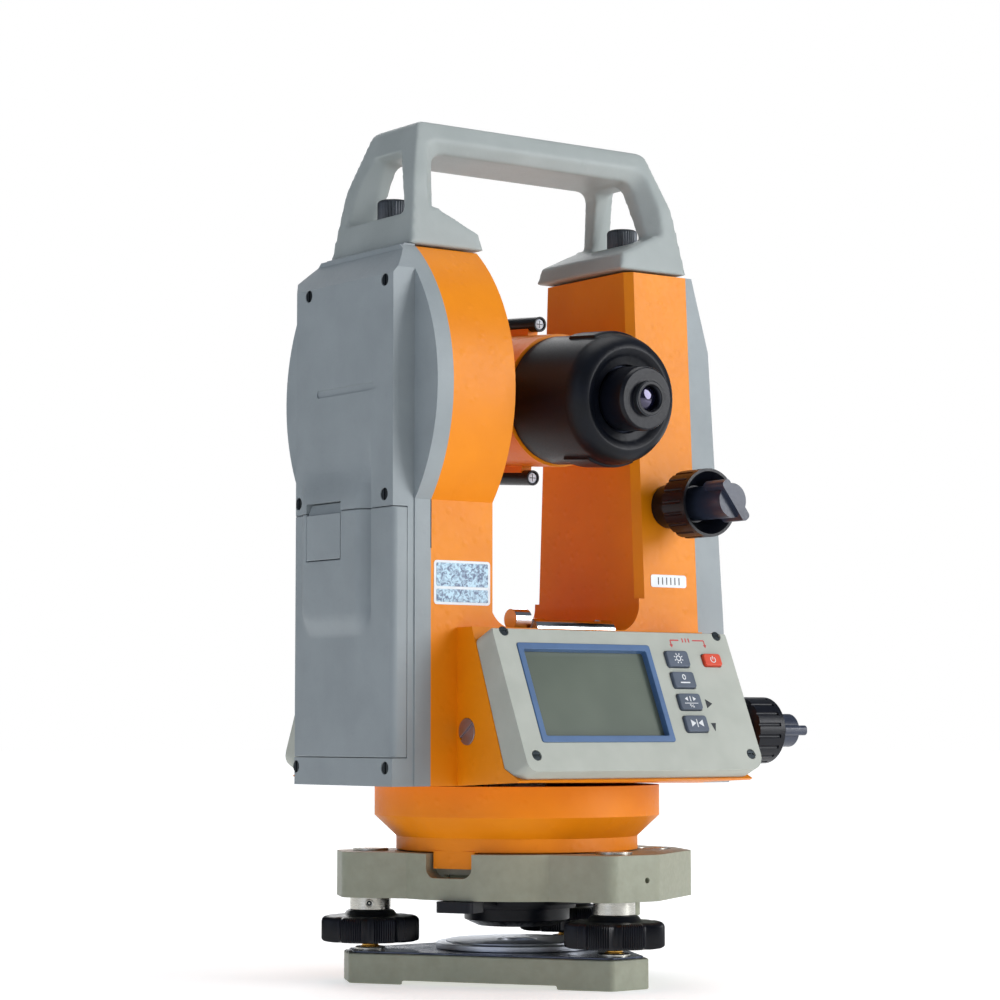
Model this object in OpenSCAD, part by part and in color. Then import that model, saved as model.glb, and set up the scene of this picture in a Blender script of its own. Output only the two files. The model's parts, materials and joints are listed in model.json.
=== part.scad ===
// Surveying total station on a three-screw tribrach.
// Origin: vertical axis at the underside of the base plate. +Z up, -Y towards the front keypad,
// -X towards the battery side.

/* [Overall] */
// Height of the trunnion (telescope tilting) axis
trunnion_z = 236.9; // [235:0.1:239]
// Top of the two standards, where the handle is seated
standards_top = 291; // [288:1:293]
// Top of the carrying handle
handle_top = 345; // [343:1:350]
// Angle at which the telescope is parked, eyepiece end down
telescope_tilt = 4.5; // [0:0.5:15]

/* [Base plate and foot screws] */
// Thickness of the triangular base plate
plate_t = 12; // [10:0.5:12.5]
// Distance from the centre to each cut-off corner of the base plate
plate_reach = 70; // [68:0.5:74]
// Radius of the circle on which the three foot screws stand
foot_r = 60.2; // [58:0.2:62]
// Radius of a foot screw knob
foot_knob_r = 19.8; // [17:0.2:20]
// Radius of the 5/8 inch tripod thread in the centre of the base
tripod_thread_r = 7.9375; // [7.9:0.0125:7.95]

/* [Tribrach] */
// Underside of the tribrach casting
tribrach_z0 = 34.2; // [34:0.1:35]
// Top of the tribrach casting
tribrach_z1 = 52.4; // [52:0.1:52.6]
// Distance from the centre to the end of each tribrach corner
tribrach_reach = 73; // [72:0.5:75]
// Radius of the round middle of the tribrach
tribrach_drum_r = 54; // [52:0.5:56]
// Outer radius of the collar under the turning body
collar_r = 58.3; // [56:0.1:60]

/* [Turning body] */
// Underside of the turning body
body_z0 = 79.5; // [79.4:0.1:80]
// Floor of the gap between the standards
gap_floor = 141; // [138:1:142]
// Inner face of the left standard
left_in = -41; // [-43:0.5:-40]
// Seam between the left standard and its cover
left_seam = -70.5; // [-71:0.5:-70]
// Outer face of the left cover and of the battery
left_out = -88; // [-90:0.5:-87]
// Inner face of the right standard
right_in = 36; // [35:0.5:38]
// Seam between the right standard and its cover
right_seam = 67; // [66:0.5:68]
// Outer face of the right cover at its foot
right_out = 81; // [80:0.5:82]
// Half the depth of the left standard below its round bulge
left_half_d = 39.5; // [39:0.5:40]
// Radius of the two arcs that make the round bulge of the left standard
bulge_r = 73; // [72:0.5:75]
// Height of the widest place of the bulge
bulge_z = 235; // [233:1:237]

/* [Keypad panels] */
// Lean of the panel face from the vertical
panel_lean = 23.95; // [20:0.05:26]
// Left end of a panel cover
panel_x0 = -57.6; // [-58:0.1:-57]
// Right end of a panel cover
panel_x1 = 59.6; // [58:0.1:60]
// Width and height of an ordinary key
key_size = [11.2, 6.9]; // [5:0.1:12]
// Width and height of the power key
power_key_size = [9, 5.3]; // [5:0.1:10]
// Free travel behind every key
key_travel = 0.8; // [0.4:0.1:1]

/* [Telescope] */
// Radius of the main tube
tube_r = 27; // [26:0.5:28]
// Radius of the focusing sleeve
sleeve_r = 26; // [25:0.5:26.5]
// Radius of the objective lens
objective_r = 22.5; // [20:0.5:23]
// Distance from the tilting axis to the eyepiece end
eyepiece_end = 88.6; // [86:0.2:89]
// Distance from the tilting axis to the objective end
objective_end = 76; // [70:1:80]

/* [Clamp and tangent knobs] */
// Radius of the ribbed tangent ring
tangent_r = 14; // [13:0.5:15]
// Radius of the clamp cap in the middle of the ring
clamp_r = 7; // [6.5:0.1:7.2]

/* [Hidden] */
$fn = 96;
eps = 0.01;
run_gap = 0.05;      // radial clearance of a turning fit
part_gap = 0.25;     // seam between pieces that come apart
foot_angles = [273, 153, 33];
level_angle = 333;   // side that carries the circular level
lug_angle = 203;     // side that carries the aligning lug
tribrach_lug = [54, -2, 0];          // round lug under the casting
handle_mid = -2.8;   // middle of the handle between the standards
handle_z0 = 292;
handle_screw_x = [handle_mid - 59, handle_mid + 59];
right_half_low = 39.1;
right_half_top = 29;
panel_top = [-62, 139.9];           // Y and Z of the top edge of the panel face
seam_top = [-49.3, gap_floor];      // Y and Z of the seam behind the panel cover
seam_foot = [-70.2, 86.5];
lcd_box = [-48, 5.7, 17.6, 47.6];   // left, top, right, bottom on the panel face, top down
lcd_rim = 2.7;
key_places = [[30, 11.8], [30, 21], [30, 30.5], [30, 40]];
power_place = [47.9, 12];
panel_screw_places = [for (x = [-52.2, 54.5], v = [0.8, 52.8]) [x, v]];
battery_z = [90.3, 187.3];
battery_seam = -81.1;
hump_x = left_out - 2.6;
hump_y = [-24, 26];
latch_y = [-6, 19];
latch_z = [168, 191];
left_screw_places = [[-33, 192], [29, 192], [-33, 275.6], [22, 275.6], [-34, 86.6], [30, 86.6]];
right_screw_places = [[-32, 120], [32, 120], [-30, 200], [30, 200], [-26, 272], [26, 272]];
vertical_knob = [53, 193.5];        // X and Z of the vertical clamp axis
vertical_knob_y = -33.65;           // front face of the standard at that height
edge_cut = 2.1;                     // depth to which the inner edges of a standard are broken
horizontal_knob = [-30, 101];       // Y and Z of the horizontal clamp axis
knob_stem_back = 14;
sight_r = 3.15;
sight_z = 31.6;                     // distance of a sight from the telescope's axis

// ---- outlines and small helpers ----

function polar(r, a) = [r * cos(a), r * sin(a)];
function turned(p, a) = [p.x * cos(a) - p.y * sin(a), p.x * sin(a) + p.y * cos(a)];
function unit(v) = v / norm(v);
function wrapped(a) = a > 180 ? a - 360 : a < -180 ? a + 360 : a;

// Points of a closed outline whose corner i is rounded with radius radii[i]
function rounded(points, radii, steps = 6) = [
    for (i = [0 : len(points) - 1])
        let (
            p = points[i],
            u = unit(points[(i + len(points) - 1) % len(points)] - p),
            w = unit(points[(i + 1) % len(points)] - p),
            half = acos(u * w) / 2,
            c = p + unit(u + w) * radii[i] / sin(half),
            from = p + u * radii[i] / tan(half) - c,
            to = p + w * radii[i] / tan(half) - c,
            a = atan2(from.y, from.x),
            sweep = wrapped(atan2(to.y, to.x) - a)
        )
        each (radii[i] == 0 ? [p] : [for (k = [0 : steps]) c + polar(radii[i], a + sweep * k / steps)])
];
function box_points(x0, y0, x1, y1) = [[x0, y0], [x1, y0], [x1, y1], [x0, y1]];
function rounded_box(x0, y0, x1, y1, r) = rounded(box_points(x0, y0, x1, y1), [r, r, r, r]);

module block(low, high) { translate(low) cube(high - low); }
module bar_z(r, z0, z1) { translate([0, 0, z0]) cylinder(r = r, h = z1 - z0); }
module bar_x(r, x0, x1) { translate([x0, 0, 0]) rotate([0, 90, 0]) cylinder(r = r, h = x1 - x0); }
module bar_y(r, y0, y1) { translate([0, y0, 0]) rotate([-90, 0, 0]) cylinder(r = r, h = y1 - y0); }
module tube_z(r0, r1, z0, z1) {
    difference() {
        bar_z(r1, z0, z1);
        bar_z(r0, z0 - 1, z1 + 1);
    }
}
module turned_along_y(points) { rotate([90, 0, 0]) rotate_extrude() polygon(points); }
module prism_x(x0, x1) { translate([x0, 0, 0]) rotate([90, 0, 90]) linear_extrude(x1 - x0) children(); }
module prism_y(y0, y1) { translate([0, y1, 0]) rotate([90, 0, 0]) linear_extrude(y1 - y0) children(); }
module prism_z(z0, z1) { translate([0, 0, z0]) linear_extrude(z1 - z0) children(); }
module at_feet() { for (a = foot_angles) rotate(a) translate([foot_r, 0, 0]) children(); }

// ---- base plate group ----

function three_corners(reach, half_w) = [
    for (a = [33, 153, 273]) each [turned([reach, -half_w], a), turned([reach, half_w], a)]
];

module base_plate() {
    color("#8f927f") difference() {
        prism_z(0, plate_t) polygon(rounded(three_corners(plate_reach, 9.5), [for (i = [1 : 6]) 3]));
        difference() {
            bar_z(tribrach_drum_r, -1, 1.6);
            bar_z(24, -2, 3);
        }
        bar_z(16, -1, plate_t + 1);
        at_feet() bar_z(4.25, 6, plate_t + 1);
    }
}

module spring_plate() {
    color("#30333a") difference() {
        prism_z(plate_t, plate_t + 0.8)
            polygon(rounded(three_corners(plate_reach - 2, 8.5), [for (i = [1 : 6]) 2.5]));
        bar_z(27, plate_t - 1, plate_t + 2);
        at_feet() bar_z(4.6, plate_t - 1, plate_t + 2);
    }
}

module tripod_hub() {
    top = plate_t + 4.1;
    color("#5a6070") difference() {
        union() {
            bar_z(16 - eps, 0.02, plate_t);
            bar_z(26.5, plate_t, plate_t + 0.8);
            bar_z(33, plate_t + 0.8, top - 0.8);
            bar_z(29, top - 0.8, top);
        }
        bar_z(tripod_thread_r, -1, top + 1);
    }
}

// Knob with its spindle: two solids, the spindle is fixed in the knob
module foot_screw(i) {
    knob_z = [16.2, 28.5];
    rotate(foot_angles[i]) translate([foot_r, 0, 0]) {
        color("#0c0e18") difference() {
            bar_z(foot_knob_r, knob_z[0], knob_z[1]);
            bar_z(4.2, knob_z[0] - 1, knob_z[1] + 1);
            for (k = [0 : 8]) rotate(k * 40) translate([foot_knob_r + 1.9, 0, 0])
                bar_z(3.6, knob_z[0] - 1, knob_z[1] + 1);
        }
        color("#b08a3c") {
            bar_z(4.15, 6.05, knob_z[1] + 0.3);
            bar_z(4, knob_z[1], 49);
        }
    }
}

module foot_sleeves() {
    color("#b9bbb8") at_feet() {
        difference() {
            union() {
                bar_z(8.25, 28.95, tribrach_z0);
                bar_z(7, tribrach_z0 - 0.5, tribrach_z1);
            }
            bar_z(4 + run_gap, 28, tribrach_z1 - 1.2);
        }
        bar_z(7.2, tribrach_z1, tribrach_z1 + 1.1);
    }
}

// ---- tribrach ----

module tribrach_outline() {
    wing = 26;   // angle from a corner's middle to where its flank meets the drum
    corner = [tribrach_reach, 12];
    function lobe(a) = [
        turned([corner.x, -corner.y], a), turned(corner, a), polar(tribrach_drum_r, a + wing)
    ];
    level_side = [turned([69.5, -16], level_angle), turned([69.5, 16], level_angle)];
    corners = concat(
        [polar(tribrach_drum_r, 273 - wing), turned([corner.x, -corner.y], 273), turned(corner, 273)],
        level_side,
        lobe(33),
        [polar(tribrach_drum_r, 153 - wing)],
        lobe(153)
    );
    polygon(rounded(corners, [0, 6, 6, 6, 6, 6, 6, 0, 0, 6, 6, 0]));
    circle(tribrach_drum_r);
}

module tribrach_body() {
    color("#84887a") difference() {
        union() {
            prism_z(tribrach_z0, tribrach_z1) tribrach_outline();
            translate(tribrach_lug) bar_z(7, 24, tribrach_z0 + 1);
        }
        bar_z(18, 0, 100);
        bar_z(22, tribrach_z0 - 1, 46);
        // cavity under the casting, left open between the bosses
        difference() {
            bar_z(46, tribrach_z0 - 1, 44);
            bar_z(28, 0, 60);
            for (a = foot_angles) rotate(a) block([30, -4, 30], [60, 4, 50]);
        }
        at_feet() bar_z(7, 0, 100);
        rotate(level_angle) translate([56, 0, 0]) bar_z(8.5, 43, 60);
        // notch for the aligning lug
        rotate(lug_angle) prism_x(45.5, 60)
            polygon(rounded(box_points(-10.5, 42.9, 10.5, 60), [4, 4, 0, 0]));
        // grub screw hole beside the near foot screw
        rotate(273) translate([tribrach_reach - 6, 6, 42.5]) bar_x(1.1, 0, 10);
    }
}

module tribrach_bowl() {
    color("#0c0e18") difference() {
        union() {
            bar_z(21.5, 24.5, tribrach_z0);
            translate([0, 0, 22]) cylinder(r1 = 16, r2 = 21.5, h = 2.5);
            bar_z(15, tribrach_z0 - 1, 45.9);
            bar_z(24, 29.2, 31.1);
        }
        bar_z(7, 0, 60);
    }
}

module lock_lever() {
    lever_z = [31.3, 33.9];
    color("#101219") difference() {
        union() {
            bar_z(30, lever_z[0], lever_z[1]);
            rotate(207) {
                block([20, -6, lever_z[0]], [50, 6, lever_z[1]]);
                prism_z(29.6, lever_z[1]) polygon(rounded_box(43, -8, 57, 8, 3));
            }
        }
        bar_z(21.5 + run_gap, 0, 60);
    }
}

module circular_level() {
    color("#b9bbb8") rotate(level_angle) translate([56, 0, 0]) {
        difference() {
            bar_z(8.2, 43.3, tribrach_z1 + 0.4);
            bar_z(6.4, 46, 60);
        }
        for (a = [0, 120, 240]) rotate(a + 30) translate([7.2, 0, 0]) bar_z(2.2, 31.5, tribrach_z0);
    }
}

module circular_level_glass() {
    color("#cfe0c0") rotate(level_angle) translate([56, 0, 0]) bar_z(6.3, 46, tribrach_z1 + 0.2);
}

module collar_ring() {
    color("#f0901c") {
        difference() {
            rotate_extrude() polygon([
                [18, tribrach_z1], [46, tribrach_z1], [46, 53], [49.4, 53], [49.4, 58.3],
                [collar_r, 66.8], [collar_r, 79], [52, 79], [52, 68], [18, 64]
            ]);
            bar_z(18, 0, 100);
        }
        rotate(lug_angle) block([45.6, -9.3, 46.4], [49.3, 9.3, 53.4]);
    }
}

module axis_bush() {
    color("#9a9d9f") difference() {
        union() {
            bar_z(18, 46, 69);
            bar_z(22, 69, 72);
        }
        bar_z(12 + run_gap, 0, 100);
    }
}

module horizontal_circle() {
    color("#c8d4cf") tube_z(15, 44, 72, 73.2);
}

// ---- turning body ----

module axis_spindle() {
    color("#9a9d9f") {
        bar_z(12, 47, body_z0 + 6.5);
        bar_z(20, body_z0 + 6.5, body_z0 + 10);
    }
}

// Side outline of the left standard, drawn in Y and Z; inset makes it smaller all round
module left_outline(inset = 0) {
    c = bulge_r - 54.8;
    intersection() {
        translate([-c, bulge_z]) circle(bulge_r - inset);
        translate([c, bulge_z]) circle(bulge_r - inset);
        translate([-80, bulge_z - 60]) square([160, standards_top - bulge_z + 60 - inset]);
    }
    translate([-left_half_d + inset, body_z0 + inset])
        square([2 * (left_half_d - inset), bulge_z - 20 - body_z0]);
}

module right_outline(inset = 0) {
    polygon([
        [-right_half_low + inset, body_z0 + inset], [right_half_low - inset, body_z0 + inset],
        [right_half_top - inset, standards_top - inset], [-right_half_top + inset, standards_top - inset]
    ]);
}

// Housing that carries a panel, drawn in Y and Z
module housing_outline() {
    polygon([
        [-38, body_z0], [-78.6, body_z0], [-80.2, 82], seam_foot, seam_top, [-38, gap_floor]
    ]);
}

module facing(rear) { rotate([0, 0, rear ? 180 : 0]) children(); }
module front_and_rear() { for (rear = [false, true]) facing(rear) children(); }

// Local axes of a panel face: X along it, Y up the slope, Z out of the face
module on_panel() {
    translate([0, panel_top.x, panel_top.y]) rotate([90 - panel_lean, 0, 0]) children();
}

// Round corner of radius r where the floor of the gap meets a standard
module gap_corner(r, half_w) {
    difference() {
        block([-1, -half_w, -1], [r, half_w, r]);
        translate([r, 0, r]) bar_y(r, -45, 45);
    }
}

module body_frame() {
    floor_z = body_z0 + 6.5;
    edge_lean = atan2(right_half_low - right_half_top, standards_top - body_z0);
    color("#f0901c") difference() {
        union() {
            difference() {
                prism_x(left_seam, left_in) left_outline();
                prism_x(left_seam - 1, left_in - 4) left_outline(4);
            }
            difference() {
                prism_x(right_in, right_seam) right_outline();
                prism_x(right_in + 4, right_seam + 1) right_outline(4);
            }
            block([left_in - eps, -left_half_d, body_z0], [right_in + eps, left_half_d, gap_floor]);
            // rounded corners of the gap between the standards
            translate([left_in, 0, gap_floor]) gap_corner(12, 37.5);
            translate([right_in, 0, gap_floor]) mirror([1, 0, 0]) gap_corner(12, 35);
            front_and_rear() prism_x(-58, 58) housing_outline();
            // bearing bosses, handle bosses and cover screw posts
            translate([0, 0, trunnion_z]) {
                bar_x(18, left_in - 12, left_in - 1);
                bar_x(18, right_in + 1, right_in + 12);
            }
            for (x = handle_screw_x) translate([x, 0, 0]) bar_z(6.5, 268, standards_top - 2);
        }
        // electronics space through the foot of the body, open to both panels
        block([left_in + 4, -60, floor_z], [right_in - 4, 60, gap_floor - 7]);
        front_and_rear() prism_x(-54, 54)
            polygon([[-42, floor_z], [-66, floor_z], [-76, 92], [-60, 134], [-42, 134]]);
        bar_z(12, 0, 100);
        translate([0, 0, trunnion_z]) {
            bar_x(13, left_in - 11, left_in - 1);
            bar_x(13, right_in + 1, right_in + 11);
            bar_x(9, left_in - 20, right_in + 20);
        }
        for (x = handle_screw_x) translate([x, 0, 0]) bar_z(3 + run_gap, 262, standards_top + 1);
        translate([vertical_knob.x, 0, vertical_knob.y]) bar_y(6, -45, -20);
        translate([0, horizontal_knob.x, horizontal_knob.y]) bar_x(6, 54, 90);
        front_and_rear() translate([-58, -46.1, 100.5]) bar_x(5.3, -1, 2);
        // bed of the plate level
        translate([0, -28, gap_floor]) bar_x(5.6, -17, 29);
        // spot face under the vertical clamp, and the broken inner edges of the right standard
        translate([vertical_knob.x, 0, vertical_knob.y]) bar_y(9.2, -40, vertical_knob_y);
        for (s = [-1, 1]) translate([right_in, s * right_half_low, body_z0]) rotate([s * edge_lean, 0, 0])
            rotate(-45 * s) block([-9, -9, gap_floor - body_z0 + 14], [edge_cut, 9, 240]);
    }
}

module encoder_readers() {
    color("#2e6b4a") {
        rotate(90) block([33, -7, 73.8], [46, 7, body_z0]);
        block([left_in - 17.3, -9, trunnion_z - 34], [left_in - 4, 9, trunnion_z - 20]);
    }
}

module screw_along(depth, head_r) {
    // head on the surface at z = 0, shank towards -z
    difference() {
        bar_z(head_r, -1.6, -0.2);
        block([-3, -0.4, -0.9], [3, 0.4, 1]);
    }
    bar_z(head_r * 0.55, -depth, -1.6 + eps);
}

module on_left_face(yz) { translate([left_out, yz.x, yz.y]) rotate([0, -90, 0]) children(); }

function right_face_x(z) =
    z < 146 ? right_out : z < 260 ? right_out - 3 * (z - 146) / 114 : 78 - 7.7 * (z - 260) / 31;

module on_right_face(yz) {
    translate([right_face_x(yz.y) - 0.4, yz.x, yz.y]) rotate([0, 90, 0]) children();
}

// Plan of the raised pad that the left cover and the battery share, its rear outer edge cut off
module pad_outline(x_in) {
    half = left_half_d - 0.5;
    polygon([[x_in, -half], [left_out, -half], [left_out, half - 8], [left_out + 5.5, half], [x_in, half]]);
}

module left_cover() {
    top = standards_top + 1;
    thin = left_seam - 5;
    wing_x = left_seam - 7.5;
    color("#8e9699") difference() {
        union() {
            prism_x(wing_x, left_seam) left_outline();
            intersection() {
                prism_x(left_out, left_seam) {
                    left_outline();
                    translate([-28, bulge_z]) square([56, top - bulge_z]);
                }
                prism_y(-left_half_d + 0.5, left_half_d - 0.5) polygon([
                    [left_seam, body_z0], [left_out, body_z0], [left_out, 278], [thin, top], [left_seam, top]
                ]);
                prism_z(body_z0, top) pad_outline(left_seam);
            }
            // upper end of the raised finger grip
            prism_y(hump_y[0], hump_y[1]) polygon([
                [left_out + 1, battery_z[1] + part_gap], [hump_x, battery_z[1] + part_gap],
                [hump_x + 0.5, 193], [left_out, 206], [left_out + 1, 206]
            ]);
        }
        // hollow behind the upper part
        prism_x(left_seam - 4.5, left_seam + 1) left_outline(4);
        prism_x(left_seam - 14, left_seam - 3) intersection() {
            left_outline(6);
            translate([-34, battery_z[1] + 6]) square([68, 80]);
        }
        // battery bay
        block([left_out - 5, -60, battery_z[0]], [battery_seam, 60, battery_z[1]]);
        block([battery_seam - 1, -32.3, 95.7], [left_seam - 3, 32.3, 181.7]);
        // room for the top of the latch
        block([left_out - 5, latch_y[0], 180], [left_out + 3.4, latch_y[1], latch_z[1]]);
        for (p = left_screw_places) on_left_face(p) {
            bar_z(2.5, -1.7, 10);
            bar_z(1.4, -30, 0);
        }
        // height mark beside the tilting axis
        prism_x(left_out - 1, left_out + 0.5)
            polygon(rounded_box(-26.3, 233.4, 15.6, 236.4, 1.3));
    }
}

module right_cover() {
    color("#a9afab") difference() {
        intersection() {
            prism_x(right_seam, right_out + 1) right_outline();
            prism_y(-50, 50) polygon([
                [right_seam, body_z0], [right_out, body_z0], [right_out, 146], [78, 260],
                [70.3, standards_top], [right_seam, standards_top]
            ]);
        }
        intersection() {
            prism_x(right_seam - 1, right_out) right_outline(4);
            prism_y(-50, 50) polygon([
                [right_seam - 1, body_z0 + 3], [right_out - 3, body_z0 + 3], [right_out - 3, 146],
                [75, 260], [68.3, 286], [right_seam - 1, 286]
            ]);
        }
        translate([0, horizontal_knob.x, horizontal_knob.y]) bar_x(6, 60, 90);
        for (p = right_screw_places) on_right_face(p) {
            bar_z(2.5, -1.7, 10);
            bar_z(1.4, -30, 0);
        }
    }
}

module cover_screws() {
    color("#202329") {
        for (p = left_screw_places) on_left_face(p) screw_along(14, 2.3);
        for (p = right_screw_places) on_right_face(p) screw_along(6, 2.3);
    }
}

module side_plugs() {
    color("#b8862c") front_and_rear() translate([-58, -46.1, 100.5]) rotate([0, -90, 0]) difference() {
        bar_z(5.2, -1.9, 0.3);
        rotate(35) block([-0.6, -6, -0.6], [0.6, 6, 1]);
    }
}

module battery() {
    low = battery_z[0] + part_gap;
    high = battery_z[1] - part_gap;
    color("#868e93") difference() {
        union() {
            prism_z(low, high) pad_outline(battery_seam - 0.02);
            block([battery_seam - 1, -32, 96], [left_seam - 3.3, 32, 181.4]);
            prism_y(hump_y[0], hump_y[1]) polygon([
                [left_out + 1, 136], [left_out, 138], [hump_x, 147], [hump_x, high], [left_out + 1, high]
            ]);
        }
        block([left_out - 5, latch_y[0], latch_z[0]], [left_out + 3.4, latch_y[1], high + 1]);
    }
}

module battery_latch() {
    color("#868e93") difference() {
        block(
            [hump_x, latch_y[0] + 0.3, latch_z[0] + 0.3],
            [left_out + 1.6, latch_y[1] - 0.3, latch_z[1] - 0.3]
        );
        translate([left_out - 4.2, 0, latch_z[1] - 4]) rotate([0, 20, 0]) block([-4, -40, 0], [2.4, 40, 10]);
    }
}

module circuit_boards() {
    color("#2e6b4a") {
        front_and_rear() on_panel() {
            block([-50, -48, -8.2], [53, -4, -6.6]);
            block([-30, -40, -10.5], [-12, -24, -8.2]);
            block([5, -38, -10.2], [15, -28, -8.2]);
        }
        block([right_in + 8, -24, 120], [right_in + 9.6, 24, 210]);
        for (z = [130, 190]) block([right_in + 4, -6, z], [right_in + 8, 6, z + 10]);
        block([left_in + 12, -18, body_z0 + 12], [right_in - 12, 18, body_z0 + 13.6]);
        for (x = [-27, 22], y = [-14, 14]) translate([x, y, 0]) bar_z(2, body_z0 + 6.5, body_z0 + 12);
    }
}

// ---- keypad panels ----

module panel_outline() {
    polygon(rounded(box_points(panel_x0, -59.5, panel_x1, 1.5), [4, 7, 3, 3]));
}

module panel_cover() {
    difference() {
        intersection() {
            prism_x(panel_x0, panel_x1) polygon([
                seam_top, panel_top, [-86.1, 85.6], [-84.6, 82.3], [-80.2, 82], seam_foot
            ]);
            on_panel() translate([0, 0, -30]) linear_extrude(40) panel_outline();
        }
        on_panel() {
            // hollow behind the face
            block([panel_x0 + 3.6, -49.5, -30], [panel_x1 - 3.6, -3, -2.6]);
            translate([0, 0, -5]) linear_extrude(10)
                polygon(rounded_box(lcd_box[0], -lcd_box[3], lcd_box[2], -lcd_box[1], 1.2));
            for (p = key_places) key_shape(p, key_size, 0.3, [-5, 5]);
            key_shape(power_place, power_key_size, 0.3, [-5, 5]);
            for (p = panel_screw_places) translate([p.x, -p.y, 0]) {
                bar_z(2.2, -1.7, 5);
                bar_z(1.25, -9, 0);
            }
        }
    }
}

module key_shape(place, size, grow, depth) {
    w = size.x / 2 + grow;
    h = size.y / 2 + grow;
    translate([place.x, -place.y, depth[0]]) linear_extrude(depth[1] - depth[0])
        polygon(rounded_box(-w, -h, w, h, 1.2));
}

module key(place, size, rear) {
    facing(rear) on_panel() key_shape(place, size, 0, [key_travel - 6, key_travel + 0.5]);
}

module front_panel_cover() { color("#b9bdb3") panel_cover(); }
module rear_panel_cover() { color("#b9bdb3") facing(true) panel_cover(); }

module panel_screws() {
    color("#3a3d40") front_and_rear() on_panel()
        for (p = panel_screw_places) translate([p.x, -p.y, 0]) screw_along(8.6, 2);
}

module lcd_frames() {
    g = 0.1;
    color("#4a6c98") front_and_rear() on_panel() difference() {
        translate([0, 0, -2.6]) linear_extrude(3)
            polygon(rounded_box(lcd_box[0] + g, -lcd_box[3] + g, lcd_box[2] - g, -lcd_box[1] - g, 1.1));
        translate([0, 0, -4]) linear_extrude(8) polygon(rounded_box(
            lcd_box[0] + lcd_rim, -lcd_box[3] + lcd_rim, lcd_box[2] - lcd_rim, -lcd_box[1] - lcd_rim, 0.8));
    }
}

module lcd_glasses() {
    color("#7b8577") front_and_rear() on_panel()
        block([lcd_box[0] + 1, -lcd_box[3] + 1, -4.4], [lcd_box[2] - 1, -lcd_box[1] - 1, -2.6]);
}

// ---- levels, bearings, clamps ----

module plate_level_tube() {
    color("#c9cbc8") translate([0, -28, gap_floor]) {
        difference() {
            bar_x(5, -14, 26);
            bar_x(3.6, -12, 24);
            block([-8, -2.5, 0], [20, 2.5, 8]);
        }
        translate([0, 0, 4.2]) bar_x(4.2, -24, -16);
    }
}

module plate_level_vial() {
    color("#cfe0c0") translate([0, -28, gap_floor]) bar_x(3.5, -11.8, 23.8);
}

module trunnion_bearings() {
    color("#b9bbb8") translate([0, 0, trunnion_z]) for (x = [left_in - 11, right_in + 1]) difference() {
        bar_x(13, x, x + 10);
        bar_x(8 + run_gap, x - 1, x + 11);
    }
}

// Knob pieces stand on z = 0 and point along +z
module knob_sleeve(back) {
    difference() {
        union() {
            bar_z(9, 0, 7.5);
            bar_z(7.8, 7.5, 10.5);
            bar_z(6, -back, 0);
        }
        bar_z(5 + run_gap, -back - 1, 20);
    }
}

module tangent_ring(back) {
    difference() {
        union() {
            translate([0, 0, 10.8]) cylinder(r1 = 9, r2 = tangent_r, h = 2.4);
            bar_z(tangent_r, 13.2, 27);
            bar_z(5, -back, 11);
        }
        translate([0, 0, 17.5]) cylinder(r1 = clamp_r + 0.6, r2 = tangent_r - 1.1, h = 9.6);
        bar_z(3 + run_gap, -back - 1, 30);
        for (k = [0 : 17]) rotate(k * 20) translate([tangent_r + 0.35, 0, 0]) bar_z(0.9, 12, 24.8);
    }
}

module clamp_cap(back) {
    bar_z(3, -back - 4, 20);
    bar_z(clamp_r, 18.3, 41.3);
    rotate(-52) prism_z(31, 43.4) polygon(rounded_box(-9.6, -2.1, 9.6, 2.1, 1.6));
}

module at_vertical_knob() {
    translate([vertical_knob.x, vertical_knob_y, vertical_knob.y]) rotate([90, 0, 0]) children();
}
module at_horizontal_knob() {
    translate([right_out, horizontal_knob.x, horizontal_knob.y]) rotate([0, 90, 0]) children();
}

module knob_sleeves() {
    color("#101219") {
        at_vertical_knob() knob_sleeve(5);
        at_horizontal_knob() knob_sleeve(16);
    }
}
module vertical_tangent_ring() { color("#0c0e18") at_vertical_knob() tangent_ring(knob_stem_back); }
module vertical_clamp_cap() { color("#2a3040") at_vertical_knob() clamp_cap(knob_stem_back); }
module horizontal_tangent_ring() { color("#0c0e18") at_horizontal_knob() tangent_ring(knob_stem_back + 5); }
module horizontal_clamp_cap() {
    color("#2a3040") at_horizontal_knob() rotate(142) clamp_cap(knob_stem_back + 5);
}

// ---- handle ----

// Cutting shape with sloping sides: an outline lofted between two parallel planes
module lofted_x(x0, points0, x1, points1) {
    hull() {
        prism_x(x0, x0 + eps) polygon(points0);
        prism_x(x1, x1 + eps) polygon(points1);
    }
}
module lofted_y(y0, points0, y1, points1) {
    hull() {
        prism_y(y0, y0 + eps) polygon(points0);
        prism_y(y1, y1 + eps) polygon(points1);
    }
}

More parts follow.
